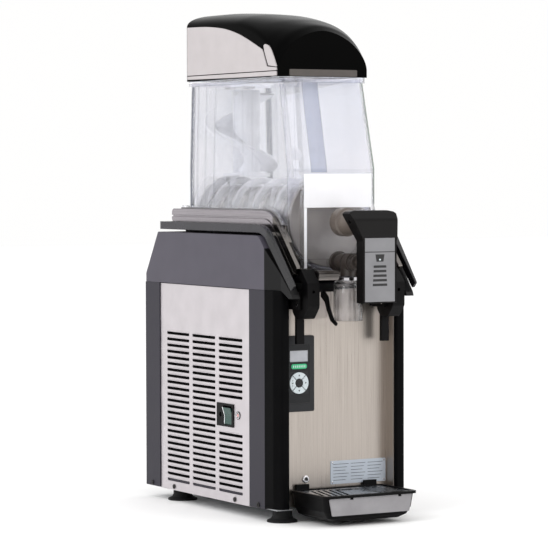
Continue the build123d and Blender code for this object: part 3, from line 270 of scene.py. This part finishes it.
# the rim's sloping front, ahead of y -135 mm, is darkened: painted shade
two_tone_and_painted_shade(RIM_PAINT, "Y", -0.135, srgb(12, 11, 14), srgb(18, 17, 21))
ROCKER = surface("rocker_white_and_green", srgb(232, 234, 236), srgb(240, 242, 244), (0.25, 0.35),
                 grain=(90, 90, 90), bump=0.06, edge=0.0005)
two_tone_and_painted_shade(ROCKER, "Y", -0.0015, srgb(1, 52, 44), srgb(4, 66, 56))


def clear(name, tint, second, rough, ior, alpha):
    """See-through moulding with a faint drift of tint."""
    m = surface(name, tint, second, rough, grain=(6, 6, 6), bump=0.03, bump_grain=(60, 60, 60),
                bump_size=0.0004, edge=0.0020, Transmission_Weight=1.0, IOR=ior, Alpha=alpha)
    return m


BOWL_CLEAR = clear("bowl_clear", (0.76, 0.79, 0.90, 1), (0.88, 0.87, 0.94, 1), (0.02, 0.05), 1.36, 0.46)
SPOUT_CLEAR = clear("spout_clear", (0.80, 0.80, 0.82, 1), (0.90, 0.90, 0.92, 1), (0.02, 0.05), 1.46, 0.85)
# dark grey strips on the bowl's clear corners: painted shade where the clear wall is seen edge-on
EDGE_SHADE = surface("bowl_edge_painted_shade", srgb(96, 100, 112), srgb(120, 124, 136), (0.2, 0.3),
                    grain=(20, 20, 20), bump=0.04, Alpha=0.85)
# dark green rod on the bowl's right front edge: painted shade where the clear wall is seen edge-on
EDGE_GREEN = surface("bowl_edge_green", srgb(58, 84, 60), srgb(84, 112, 86), (0.2, 0.3),
                     grain=(20, 20, 20), bump=0.04, Alpha=0.85)
# bluish-grey tint for a band in the bowl's front wall: painted reflection
BAND_REFLECTION = clear("painted_reflection_band", (0.42, 0.45, 0.55, 1), (0.52, 0.55, 0.64, 1), (0.05, 0.10), 1.36, 0.75)
LINE_CLEAR = clear("moulded_line", (0.55, 0.57, 0.66, 1), (0.70, 0.72, 0.80, 1), (0.05, 0.10), 1.4, 0.6)

FINISH = {
    "base_frame": ZINC, "feet": RUBBER, "side_frames": COVER, "louver_panels": SIDE_STEEL,
    "corner_columns": COLUMN_SHADED_BLACK, "rear_cover": COVER, "cable_gland": BLACK, "front_panel": PANEL_STEEL,
    "panel_lock": CHROME, "hood": HOOD_PAINT, "hood_rim": RIM_PAINT, "deck": DECK_STEEL,
    "front_lip": LIP_STEEL, "freezing_drum": BRIGHT_STEEL, "bowl": BOWL_CLEAR, "bowl_gasket": GASKET,
    "bowl_badge": PLATE_WHITE, "shaft_seal": RUBBER, "auger": WHITE, "auger_nose": BEIGE_GREY,
    "drive_shaft": BRIGHT_STEEL, "riser_auger": WHITE, "riser_post": BRIGHT_STEEL,
    "gearmotor": MACHINE, "shaft_pulley": ZINC, "motor_pulley": ZINC, "drive_belt": RUBBER,
    "compressor": MACHINE, "condenser": FINS, "fan_motor": MACHINE, "fan_blade": BLACK,
    "circuit_board": BOARD, "control_bezel": CHARCOAL, "display_window": LCD,
    "handle_boss": BROWN_GREY, "tap_barrel": DARK_BROWN, "tap_piston": DARK_BROWN,
    "tap_spout": SPOUT_CLEAR, "tap_handle": CAP_BLACK,
    "handle_insert": INSERT_GREY, "left_latch": BLACK, "right_latch": BLACK, "latch_bar": BLACK,
    "hinge_pins": CHROME, "drip_tray": BLACK, "tray_trim": TRIM_GREY, "drip_grid": GRID_STEEL,
    "lid_cover": GLOSS, "lid_side_panels": SHELL_GREY, "lid_strip": STRIP_GREY, "lid_rim": BOWL_CLEAR,
    "cover_screws": DARK_CHROME, "switch_housing": BLACK, "fuse_holder": BLACK,
    "power_rocker": ROCKER, "key_up": KEY_WHITE, "key_left": KEY_WHITE, "key_down": KEY_WHITE,
    "key_right": KEY_WHITE, "key_centre": INK,
}

for name, obj in NODES.items():
    finish = FINISH[name]
    if obj.material_slots:
        for held in obj.material_slots:
            held.material = finish
    else:
        obj.data.materials.append(finish)


# ------------------------------------------------------------------ mesh helpers
def piece(name, verts, faces, finish, body, smooth=30.0, bevel=0.0, subdivide=0, replaces=()):
    """A mesh piece in millimetres that rides on a body and takes its finish from a slot."""
    mesh = bpy.data.meshes.new(name)
    mesh.from_pydata([(x * MM, y * MM, z * MM) for x, y, z in verts], [], faces)
    bm = bmesh.new()
    bm.from_mesh(mesh)
    bmesh.ops.remove_doubles(bm, verts=bm.verts, dist=0.01 * MM)
    bmesh.ops.recalc_face_normals(bm, faces=bm.faces)
    bm.to_mesh(mesh)
    bm.free()
    made = bpy.data.objects.new(name, mesh)
    scene.collection.objects.link(made)
    mesh.materials.append(finish)
    if bevel:
        edges = made.modifiers.new("edges", "BEVEL")
        edges.width = bevel * MM
        edges.segments = 3
        edges.limit_method = "ANGLE"
        edges.angle_limit = math.radians(35)
    if subdivide:
        finer = made.modifiers.new("finer", "SUBSURF")
        finer.levels = subdivide
        finer.render_levels = subdivide
    mesh.shade_smooth()
    if smooth and not subdivide:
        mesh.set_sharp_from_angle(angle=math.radians(smooth))
    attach(made, body)
    if replaces:
        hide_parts(*replaces)
    return made


def loft(rings, closed_ring=True, caps=True):
    """Vertices and faces of a skin through rings that have the same number of points."""
    verts = [p for ring in rings for p in ring]
    n = len(rings[0])
    faces = []
    for i in range(len(rings) - 1):
        for j in range(n if closed_ring else n - 1):
            k = (j + 1) % n
            faces.append((i * n + j, i * n + k, (i + 1) * n + k, (i + 1) * n + j))
    if caps and closed_ring:
        faces.append(tuple(range(n)))
        faces.append(tuple((len(rings) - 1) * n + j for j in range(n)))
    return verts, faces


def join(parts):
    """One vertex and face list out of several."""
    verts = []
    faces = []
    for v, f in parts:
        base = len(verts)
        verts += v
        faces += [tuple(i + base for i in face) for face in f]
    return verts, faces


def rounded_rect(half_w, half_h, r, steps=6):
    """Corner-rounded rectangle outline around the origin."""
    out = []
    for cx, cy, start in ((1, 1, 0), (-1, 1, 90), (-1, -1, 180), (1, -1, 270)):
        for i in range(steps + 1):
            a = math.radians(start + 90 * i / steps)
            out.append((cx * (half_w - r) + r * math.cos(a), cy * (half_h - r) + r * math.sin(a)))
    return out


def prism_y(outline, y0, y1):
    """Solid between two Y planes out of an (x, z) outline."""
    return loft([[(x, y, z) for x, z in outline] for y in (y0, y1)])


def prism_x(outline, x0, x1):
    """Solid between two X planes out of a (y, z) outline."""
    return loft([[(x, y, z) for y, z in outline] for x in (x0, x1)])


def move(outline, dx, dz):
    return [(x + dx, z + dz) for x, z in outline]


def turn_z(profile, x, y, steps=64):
    """Solid of revolution around an upright axis out of an (r, z) profile."""
    rings = []
    for r, z in profile:
        rings.append([
            (x + r * math.cos(2 * math.pi * i / steps), y + r * math.sin(2 * math.pi * i / steps), z)
            for i in range(steps)
        ])
    return loft(rings)


def turn_y(profile, x, z, steps=48):
    """Solid of revolution around an axis along Y out of an (r, y) profile."""
    rings = []
    for r, y in profile:
        rings.append([
            (x + r * math.cos(2 * math.pi * i / steps), y, z + r * math.sin(2 * math.pi * i / steps))
            for i in range(steps)
        ])
    return loft(rings)


def smooth_line(points, t):
    """Value on a smooth curve through points sorted by their first number."""
    xs = [p[0] for p in points]
    if t <= xs[0]:
        return points[0][1:]
    if t >= xs[-1]:
        return points[-1][1:]
    i = max(k for k in range(len(xs) - 1) if xs[k] <= t)
    u = (t - xs[i]) / (xs[i + 1] - xs[i])
    before = points[max(i - 1, 0)]
    a, b = points[i], points[i + 1]
    after = points[min(i + 2, len(points) - 1)]
    out = []
    for c in range(1, len(a)):
        step = xs[i + 1] - xs[i]
        m0 = (b[c] - before[c]) / max(b[0] - before[0], 1e-6) * step
        m1 = (after[c] - a[c]) / max(after[0] - a[0], 1e-6) * step
        out.append(
            (2 * u**3 - 3 * u**2 + 1) * a[c] + (u**3 - 2 * u**2 + u) * m0
            + (-2 * u**3 + 3 * u**2) * b[c] + (u**3 - u**2) * m1
        )
    return tuple(out)


def span(name):
    """A CAD node's box in millimetres: x0, x1, y0, y1, z0, z1."""
    lo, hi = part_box(name)
    return lo.x / MM, hi.x / MM, lo.y / MM, hi.y / MM, lo.z / MM, hi.z / MM


def slab(x0, x1, y0, y1, z0, z1, r, steps=5):
    """Thin plate that faces along Y, with rounded corners."""
    outline = rounded_rect((x1 - x0) / 2, (z1 - z0) / 2, r, steps)
    return prism_y(move(outline, (x0 + x1) / 2, (z0 + z1) / 2), y0, y1)


def slab_x(x0, x1, y0, y1, z0, z1, r, steps=5):
    """Thin plate that faces along X, with rounded corners."""
    outline = rounded_rect((y1 - y0) / 2, (z1 - z0) / 2, r, steps)
    return prism_x(move(outline, (y0 + y1) / 2, (z0 + z1) / 2), x0, x1)


# ------------------------------------------------------------------ lid
LID_BOTTOM = 715.0
LID_HALF = 84.0
# y, height of the long side edges, height of the crown
LID_LINES = [
    (-111.0, 727.0, 790.0),
    (-104.0, 735.0, 794.0),
    (-95.0, 746.0, 799.0),
    (-82.0, 758.0, 803.0),
    (-70.0, 768.0, 806.0),
    (-50.0, 779.0, 811.0),
    (-30.0, 787.0, 814.5),
    (0.0, 796.0, 819.0),
    (28.0, 802.0, 823.0),
    (112.0, 804.5, 829.0),
    (200.0, 807.0, 830.0),
]


def lid_arch(y, count=40):
    """Points of the lid's cross-section at one y, from one lower edge over the crown to the other."""
    edge, crown = smooth_line(LID_LINES, y)
    blend = min(1.0, max(0.0, (y + 111.0) / 111.0))
    across, up = 1.15 - 0.33 * blend, 1.15 - 0.25 * blend
    out = [(-LID_HALF, y, LID_BOTTOM), (-LID_HALF, y, LID_BOTTOM + 6.0)]
    for i in range(count + 1):
        t = math.pi * (1 - i / count)
        c, s = math.cos(t), math.sin(t)
        x = LID_HALF * math.copysign(abs(c) ** across, c)
        out.append((x, y, edge + (crown - edge) * abs(s) ** up))
    out += [(LID_HALF, y, LID_BOTTOM + 6.0), (LID_HALF, y, LID_BOTTOM)]
    return out


stations = [-111 + 311 * (1 - math.cos(math.pi / 2 * i / 46)) for i in range(47)]
outer = [lid_arch(y) for y in stations]
verts, faces = loft(outer, closed_ring=False, caps=False)
n = len(outer[0])
last = (len(outer) - 1) * n
faces.append(tuple(range(n)))
faces.append(tuple(last + j for j in range(n)))
left = [i * n for i in range(len(outer))]
right = [i * n + n - 1 for i in range(len(outer))]
faces.append(tuple(left + right[::-1]))
piece("lid_dome", verts, faces, GLOSS, "lid", smooth=40, replaces=("lid_cover",))

# pale side plates: the long plate, its lower band and the quarter plate ahead of the curved seam
# (y, height) of the plates' top lines, and the corners of the seam and of the quarter plate's lower end
PLATE_LINE = [
    (-61.0, 760.0), (-28.0, 772.8), (5.0, 784.6), (38.0, 793.6), (72.0, 800.0), (126.0, 805.0), (196.0, 807.0)
]
PLATE_SEAM = [
    (-65.0, 755.0), (-69.5, 746.0), (-73.5, 738.0), (-76.6, 732.0), (-107.6, 729.4), (-107.6, 725.0)
]
QUARTER_LINE = [(-107.5, 731.6), (-97.0, 747.6), (-83.0, 763.4), (-70.5, 768.4), (-66.0, 766.0)]
QUARTER_END = [(-106.0, 730.6), (-81.0, 733.4), (-78.2, 738.6), (-73.0, 748.0), (-68.6, 757.0)]
LOWER_BAND = [(196.0, 718.2), (196.0, 723.6), (-107.5, 723.6), (-107.5, 716.4), (40.0, 716.8)]
plates = span("lid_side_panels")
plate_top = [(y, *smooth_line(PLATE_LINE, y)) for y in (196.0 - 257.0 * i / 30 for i in range(31))]
quarter = [(y, *smooth_line(QUARTER_LINE, y)) for y in (-66.0 - 41.5 * i / 14 for i in range(15))]
quarter += QUARTER_END
for side, word in ((-1, "left"), (1, "right")):
    outer_x = plates[1] * side
    inner_x = (plates[1] - 6.5) * side
    long_plate = [(196.0, 725.0)] + plate_top + PLATE_SEAM
    parts = [prism_x(outline, *sorted((outer_x, inner_x))) for outline in (long_plate, quarter, LOWER_BAND)]
    verts, faces = join(parts)
    replaced = ("lid_side_panels",) if side < 0 else ()
    piece(f"lid_plates_{word}", verts, faces, SHELL_GREY, "lid", bevel=0.4, replaces=replaced)


# ------------------------------------------------------------------ pressed louvres
LOUVRE_COLUMNS = (161.0, 70.0, -21.5)
LOUVRE_ROWS = 25
LOUVRE_FIRST = 36.5
LOUVRE_PITCH = 10.44
LOUVRE_H = 5.2
LOUVRE_W = 80.0


def louvre_hood(y, z, side):
    """The pressed-out lip over one slot: a shallow awning with closed ends."""
    face_x = 124.0 * side
    profile = [(0.0, 1.9), (0.7, 1.6), (1.5, 1.1), (1.9, 0.4), (1.6, 0.0), (0.9, 0.35), (0.0, 0.5)]
    rings = []
    half = LOUVRE_W / 2 + 0.6
    for i in range(13):
        u = -1 + 2 * i / 12
        taper = math.sqrt(max(0.0, 1 - abs(u) ** 8))
        ring = []
        for out, up in profile:
            x = face_x + side * (out * (0.15 + 0.85 * taper) - 0.4)
            ring.append((x, y + u * half, z + LOUVRE_H / 2 - 0.2 + up))
        rings.append(ring)
    return loft(rings)


for side, word in ((-1, "left"), (1, "right")):
    hoods = []
    for column, centre in enumerate(LOUVRE_COLUMNS):
        for row in range(LOUVRE_ROWS):
            if column == 2 and 10 <= row < 15:
                continue
            hoods.append(louvre_hood(centre, LOUVRE_FIRST + LOUVRE_PITCH * row, side))
    verts, faces = join(hoods)
    piece(f"louvre_lips_{word}", verts, faces, SIDE_STEEL, "root")


# black sheets with fine ribs behind the louvres: painted shade that keeps the slots dark
SHADE_SHEET_FACE = 122.2
for side, word in ((-1, "left"), (1, "right")):
    x0, x1 = sorted((side * (SHADE_SHEET_FACE - 1.6), side * SHADE_SHEET_FACE))
    ribs = [slab_x(x0, x1, -85.5, 223.0, 44.0, 351.0, 2.0)]
    rib_x0, rib_x1 = sorted((side * (SHADE_SHEET_FACE - 0.2), side * (SHADE_SHEET_FACE + 0.3)))
    for row in range(60):
        z = 46.0 + 5.15 * row
        ribs.append(slab_x(rib_x0, rib_x1, -85.0, 222.5, z, z + 1.2, 0.4, 2))
    verts, faces = join(ribs)
    piece(f"slot_shade_sheet_{word}", verts, faces, SLOT_SHADE, "root")


# ------------------------------------------------------------------ control panel
bezel = span("control_bezel")
face_y = bezel[2]
window = span("display_window")
frame_line = []
fx0, fx1, fz0, fz1 = -97.0, -48.5, 189.0, 284.5
for x0, x1, z0, z1 in (
    (fx0, fx1, fz1 - 0.9, fz1), (fx0, fx1, fz0, fz0 + 0.9), (fx1 - 0.9, fx1, fz0 + 0.5, fz1 - 0.5)
):
    frame_line.append(slab(x0, x1, face_y - 0.5, face_y + 0.2, z0, z1, 0.35, 3))
verts, faces = join(frame_line)
piece("bezel_line", verts, faces, INK, "root", bevel=0.15)
keys = [span(name) for name in ("key_up", "key_left", "key_down", "key_right")]
kx0, kx1 = min(k[0] for k in keys) - 0.8, max(k[1] for k in keys) + 0.8
kz0, kz1 = min(k[4] for k in keys) - 0.8, max(k[5] for k in keys) + 0.8
around = []
for x0, x1, z0, z1 in (
    (fx0 + 0.4, fx1 - 0.9, fz0 + 0.9, kz0), (fx0 + 0.4, fx1 - 0.9, kz1, window[4] - 0.2),
    (fx0 + 0.4, kx0, kz0 - 0.1, kz1 + 0.1), (kx1, fx1 - 0.9, kz0 - 0.1, kz1 + 0.1),
    (fx0 + 0.4, fx1 - 0.9, window[5] + 0.2, fz1 - 0.9),
    (fx0 + 0.4, window[0] - 0.2, window[4] - 0.4, window[5] + 0.4),
    (window[1] + 0.2, fx1 - 0.9, window[4] - 0.4, window[5] + 0.4),
):
    around.append(slab(x0, x1, face_y - 0.25, face_y + 0.2, z0, z1, 0.15, 2))
verts, faces = join(around)
piece("bezel_face", verts, faces, BEZEL_FACE, "root")

rim = []
for x0, x1, z0, z1 in (
    (window[0] - 1.6, window[1] + 1.6, window[5], window[5] + 1.3),
    (window[0] - 1.6, window[1] + 1.6, window[4] - 1.3, window[4]),
    (window[0] - 1.6, window[0], window[4] - 0.6, window[5] + 0.6),
    (window[1], window[1] + 1.6, window[4] - 0.6, window[5] + 0.6),
):
    rim.append(slab(x0, x1, face_y - 0.55, face_y + 0.2, z0, z1, 0.4, 3))
verts, faces = join(rim)
piece("display_surround", verts, faces, INK, "root", bevel=0.15)

window_x = (window[0] + window[1]) / 2
verts, faces = slab(window_x - 14.5, window_x + 14.5, face_y - 0.6, face_y + 0.2, 244.6, 252.4, 3.6, 8)
piece("green_indicator", verts, faces, GREEN_LED, "root", bevel=0.2)
bars = []
for i in range(7):
    x = window_x - 10.5 + 3.5 * i
    bars.append(slab(x - 0.8, x + 0.8, face_y - 0.75, face_y - 0.5, 246.6, 250.4, 0.4, 3))
verts, faces = join(bars)
piece("green_indicator_bars", verts, faces, KEY_WHITE, "root")


def arrow(cx, cz, turn, size):
    """Small triangular key mark that points away from the pad's centre."""
    corners = [(0, size), (-size * 0.75, -size * 0.55), (size * 0.75, -size * 0.55)]
    c, s = math.cos(turn), math.sin(turn)
    return [(cx + x * c - z * s, cz + x * s + z * c) for x, z in corners]


KEY_TURNS = {"key_up": 0.0, "key_left": math.pi / 2, "key_down": math.pi, "key_right": -math.pi / 2}
MARK_OUT = 12.2
centre = span("key_centre")
pad_x, pad_z = (centre[0] + centre[1]) / 2, (centre[4] + centre[5]) / 2
for name, turn in KEY_TURNS.items():
    key_y = span(name)[2]
    cx = pad_x - MARK_OUT * math.sin(turn)
    cz = pad_z + MARK_OUT * math.cos(turn)
    marks = [prism_y(arrow(cx, cz, turn, 1.9), key_y - 0.12, key_y + 0.2)]
    if name == "key_left":
        for off in (-4.14, 4.14):
            dot_x, dot_z = cx + off * math.cos(turn), cz + off * math.sin(turn)
            dot = [
                (dot_x + 0.75 * math.cos(t), dot_z + 0.75 * math.sin(t))
                for t in (2 * math.pi * k / 12 for k in range(12))
            ]
            marks.append(prism_y(dot, key_y - 0.12, key_y + 0.2))
    verts, faces = join(marks)
    piece(f"{name}_mark", verts, faces, INK, name)

cap_y = centre[2]
verts, faces = turn_y(
    [(0.01, cap_y - 0.22), (3.4, cap_y - 0.2), (3.9, cap_y - 0.1), (3.9, cap_y + 0.2), (0.01, cap_y + 0.2)],
    pad_x, pad_z, 32
)
piece("key_centre_dome", verts, faces, CHARCOAL, "key_centre")


# ------------------------------------------------------------------ blank data plate
PANEL_Y = -146.0
verts, faces = slab(-8.5, 97.0, PANEL_Y - 0.8, PANEL_Y, 54.0, 92.0, 1.6)
piece("data_plate", verts, faces, PLATE, "root", bevel=0.2)
lines = []
for row in range(6):
    z = 86.0 - 5.2 * row
    for x0, x1 in ((-3.5, 26.0), (30.0, 58.0), (62.0, 91.0)):
        lines.append(slab(x0, x1 - 3.0 * (row % 3), PANEL_Y - 0.9, PANEL_Y - 0.7, z, z + 0.7, 0.2, 2))
verts, faces = join(lines)
piece("data_plate_rules", verts, faces, INK, "root")
rivet = [
    (0.01, PANEL_Y - 1.5), (0.9, PANEL_Y - 1.4), (1.5, PANEL_Y - 1.0), (1.6, PANEL_Y - 0.7),
    (0.01, PANEL_Y - 0.7)
]
verts, faces = join([turn_y(rivet, x, z, 20) for x in (-5.0, 93.5) for z in (57.0, 89.0)])
piece("data_plate_rivets", verts, faces, CHROME, "root")

lock = span("panel_lock")
lock_x, lock_z = (lock[0] + lock[1]) / 2, (lock[4] + lock[5]) / 2
lock_y = lock[2]
barrel = [(0.01, 1.2), (2.7, 1.2), (2.9, 1.8), (2.9, 2.0), (0.01, 2.0)]
verts, faces = turn_y([(r, lock_y + depth) for r, depth in barrel], lock_x, lock_z, 32)
piece("lock_barrel_face", verts, faces, INK, "root")

# ------------------------------------------------------------------ switch
holder = span("fuse_holder")
holder_y, holder_z = (holder[2] + holder[3]) / 2, (holder[4] + holder[5]) / 2


def facing_left(profile, x, steps=40):
    """Rings around the fuse holder's axis out of an (r, depth) profile, where depth runs inward."""
    turns = [2 * math.pi * i / steps for i in range(steps)]
    return [
        [(x + depth, holder_y + r * math.cos(a), holder_z + r * math.sin(a)) for a in turns]
        for r, depth in profile
    ]


LAMP_PROFILE = [(0.01, 0.0), (2.0, 0.1), (2.6, 0.35), (2.7, 1.2), (0.01, 1.2)]
verts, faces = loft(facing_left(LAMP_PROFILE, holder[0] - 0.4))
piece("pilot_lamp", verts, faces, PINK, "root")
ring = facing_left([(5.6, 1.0), (5.6, 0.3), (5.0, 0.0), (4.0, 0.0), (3.6, 0.3), (3.6, 1.0)], holder[0] - 0.4)
verts, faces = loft(ring + [ring[0]], caps=False)
piece("fuse_ring", verts, faces, CHROME, "root")

# ------------------------------------------------------------------ lever
insert = span("handle_insert")
iy = insert[2]
marks = []
for row in range(5):
    z = 383.0 + 7.2 * row
    half = 11.4 + 0.55 * (4 - row)
    outline = [(-half, z - 1.9), (half, z - 1.9), (half - 0.4, z + 1.9), (-half + 0.4, z + 1.9)]
    marks.append(prism_y(outline, iy - 0.12, iy + 0.3))
verts, faces = join(marks)
piece("lever_slot_floors", verts, faces, INK, "tap_lever")
cup = [(-8.4, 431.0), (8.4, 431.0), (6.4, 419.5), (-6.4, 419.5)]
verts, faces = prism_y(cup, iy - 0.15, iy + 0.3)
piece("lever_cup_mark", verts, faces, INK, "tap_lever", bevel=0.1)
verts, faces = slab(-1.6, 1.6, iy - 0.19, iy + 0.2, 421.5, 424.0, 0.5, 3)
piece("lever_cup_dot", verts, faces, KEY_WHITE, "tap_lever")
verts, faces = slab(-27.2, 27.2, iy + 0.2, iy + 0.75, 434.0, 435.6, 0.3, 2)
piece("lever_groove", verts, faces, INK, "tap_lever")

# ------------------------------------------------------------------ spout
spout = span("tap_spout")
spout_x, spout_y = 0.0, (spout[2] + spout[3]) / 2
FLUTES, FLUTE_DEPTH, FLUTE_TOP, SPOUT_STEPS = 18, 0.55, 374.0, 144
SPOUT_OUT = [
    (15.0, 393.6), (15.0, 387.5), (18.0, 386.6), (21.8, 385.4), (23.4, 383.0), (23.7, 379.0), (22.9, 377.6),
    (22.9, 375.6), (23.7, 374.2), (23.8, 350.0), (23.6, 330.0), (23.9, 328.6), (23.9, 324.0), (23.4, 322.2)
]
SPOUT_IN = [
    (21.9, 322.3), (21.6, 326.0), (21.5, 350.0), (21.6, 376.0), (20.6, 381.0), (17.0, 382.8), (9.0, 383.4),
    (8.2, 393.6)
]


def spout_ring(r, z, fluted):
    """One level of the spout, with grooves pressed into its outer face."""
    ring = []
    depth = FLUTE_DEPTH if fluted and r > 20 and z < FLUTE_TOP else 0.0
    for i in range(SPOUT_STEPS):
        a = 2 * math.pi * i / SPOUT_STEPS
        rr = r - depth * (0.5 + 0.5 * math.cos(FLUTES * a))
        ring.append((spout_x + rr * math.cos(a), spout_y + rr * math.sin(a), z))
    return ring


rings = [spout_ring(r, z, True) for r, z in SPOUT_OUT] + [spout_ring(r, z, False) for r, z in SPOUT_IN]
verts, faces = loft(rings + [rings[0]], caps=False)
piece("spout_fluted", verts, faces, SPOUT_CLEAR, "root", smooth=50, replaces=("tap_spout",))
verts, faces = turn_z(
    [(17.0, 386.9), (18.6, 387.4), (18.6, 391.6), (17.6, 392.2), (15.2, 392.2), (15.2, 386.9), (17.0, 386.9)],
    spout_x, spout_y
)
piece("spout_collar", verts, faces, CHROME, "root")


# ------------------------------------------------------------------ bowl details
badge = span("bowl_badge")
PAD_HALF, PAD_LOW = 63.8, 406.0
verts, faces = slab(-64.0, badge[0], badge[2], badge[3], badge[4], badge[5], 0.6)
piece("plate_margin", verts, faces, PLATE_WHITE, "root")
verts, faces = slab(-PAD_HALF, -58.6, badge[2] + 0.1, badge[3], PAD_LOW, badge[4] - 0.3, 0.6)
piece("pad_edge_left", verts, faces, PLATE_WHITE, "root", bevel=0.2)
verts, faces = slab(badge[1] + 0.2, PAD_HALF, badge[2] + 0.1, badge[3], PAD_LOW, badge[5], 0.6)
piece("pad_edge_right", verts, faces, PLATE_WHITE, "root", bevel=0.2)

TROUGH_HALF, REAR = 83.0, 200.0
BEND_Z, TAPER_RUN = 566.0, 146.0


def bowl_half(z):
    """Half width of the bowl's side wall at a height."""
    return TROUGH_HALF - max(0.0, z - BEND_Z) / TAPER_RUN * 4.0


lines = []
for y, width in ((171.0, 1.5), (143.0, 1.2), (112.0, 1.2)):
    rows = []
    y0, y1 = y - width / 2, y + width / 2
    for z in (508, 566, 610, 660, 706):
        x = -bowl_half(z) + 3.45
        rows.append([(x, y0, z), (x + 0.9, y0, z), (x + 0.9, y1, z), (x, y1, z)])
    lines.append(loft(rows))
    mirror = [[(-px, py, pz) for px, py, pz in ring] for ring in rows]
    lines.append(loft(mirror))
verts, faces = join(lines)
piece("bowl_moulded_lines", verts, faces, LINE_CLEAR, "root")

# strips at the bowl's rear corners: painted shade for their dark edges
edges = []
for side in (-1, 1):
    rows = []
    for z in (501, 530, 566, 610, 660, 706):
        x = side * (bowl_half(z) - 3.55)
        inner = x - side * 7.0
        rows.append([
            (x, REAR - 3.6, z), (x, REAR - 11.5, z), (x - side * 1.2, REAR - 11.5, z),
            (inner, REAR - 4.8, z), (inner, REAR - 3.6, z)
        ])
    edges.append(loft(rows))
verts, faces = join(edges)
piece("bowl_rear_corners", verts, faces, EDGE_SHADE, "root")


def bowl_front(z):
    """Outer face of the bowl's front wall at a height."""
    return -141.0 + max(0.0, z - BEND_Z) / TAPER_RUN * 32.0


# front corner rods of the bowl; the right one's dark green is painted shade at the edge-on clear wall
for side, word, r, finish in ((-1, "left", 0.55, LINE_CLEAR), (1, "right", 1.3, EDGE_GREEN)):
    rows = []
    for z in (508, 535, 560, 566, 590, 620, 650, 680, 706):
        cx = side * (bowl_half(z) - 1.7)
        cy = bowl_front(z) + 5.6
        rows.append([
            (cx + r * math.cos(2 * math.pi * i / 10), cy + r * math.sin(2 * math.pi * i / 10), z)
            for i in range(10)
        ])
    verts, faces = loft(rows)
    piece(f"bowl_front_edge_{word}", verts, faces, finish, "root")

# a bluish-grey band just inside the bowl's front wall: painted reflection
BAND_INSET = 3.6
rows = []
for z in (560, 566, 600, 640, 680, 706):
    y = bowl_front(z) + BAND_INSET
    rows.append([(-39.0, y, z), (-9.0, y, z), (-10.5, y + 1.6, z), (-37.5, y + 1.6, z)])
verts, faces = loft(rows)
piece("bowl_front_reflection_band", verts, faces, BAND_REFLECTION, "root")


# ------------------------------------------------------------------ floor and light
floor_mesh = bpy.data.meshes.new("floor")
FLOOR = 14.0
floor_mesh.from_pydata(
    [(-FLOOR, -FLOOR, 0), (FLOOR, -FLOOR, 0), (FLOOR, FLOOR, 0), (-FLOOR, FLOOR, 0)], [], [(0, 1, 2, 3)]
)
floor = bpy.data.objects.new("floor", floor_mesh)
scene.collection.objects.link(floor)
floor_finish = surface("pale_floor", (0.93, 0.93, 0.93, 1), (0.95, 0.95, 0.95, 1), (0.7, 0.8),
                       grain=(2, 2, 2), bump=0.0)
floor_mesh.materials.append(floor_finish)

world = bpy.data.worlds.new("studio")
scene.world = world
world.use_nodes = True
background = world.node_tree.nodes["Background"]
background.inputs["Color"].default_value = (1.0, 0.997, 0.993, 1)
where = node(world.node_tree, "ShaderNodeTexCoord")
parts = node(world.node_tree, "ShaderNodeSeparateXYZ")
fade = node(world.node_tree, "ShaderNodeMapRange")
fade.inputs["From Min"].default_value = -1.0
fade.inputs["From Max"].default_value = 0.1
fade.inputs["To Min"].default_value = 0.66
fade.inputs["To Max"].default_value = 1.0
world.node_tree.links.new(where.outputs["Generated"], parts.inputs["Vector"])
world.node_tree.links.new(parts.outputs["Y"], fade.inputs["Value"])
world.node_tree.links.new(fade.outputs["Result"], background.inputs["Strength"])


def softbox(name, place, aim, size, power, colour=(1, 1, 1)):
    data = bpy.data.lights.new(name, "AREA")
    data.shape = "RECTANGLE"
    data.size, data.size_y = size
    data.energy = power
    data.color = colour
    lamp = bpy.data.objects.new(name, data)
    scene.collection.objects.link(lamp)
    lamp.location = place
    lamp.rotation_mode = "QUATERNION"
    lamp.rotation_quaternion = (Vector(aim) - Vector(place)).to_track_quat("-Z", "Y")
    return lamp


softbox("key", (1.6, -2.6, 1.7), (0, 0, 0.45), (1.8, 2.0), 26, (1.0, 0.98, 0.96))
softbox("left_fill", (-2.6, -0.6, 1.9), (0, 0, 0.62), (1.4, 1.4), 22)
daylight = bpy.data.lights.new("overhead", "SUN")
daylight.energy = 0.85
daylight.angle = math.radians(100)
overhead = bpy.data.objects.new("overhead", daylight)
scene.collection.objects.link(overhead)
overhead.rotation_euler = (math.radians(8), math.radians(-6), 0)
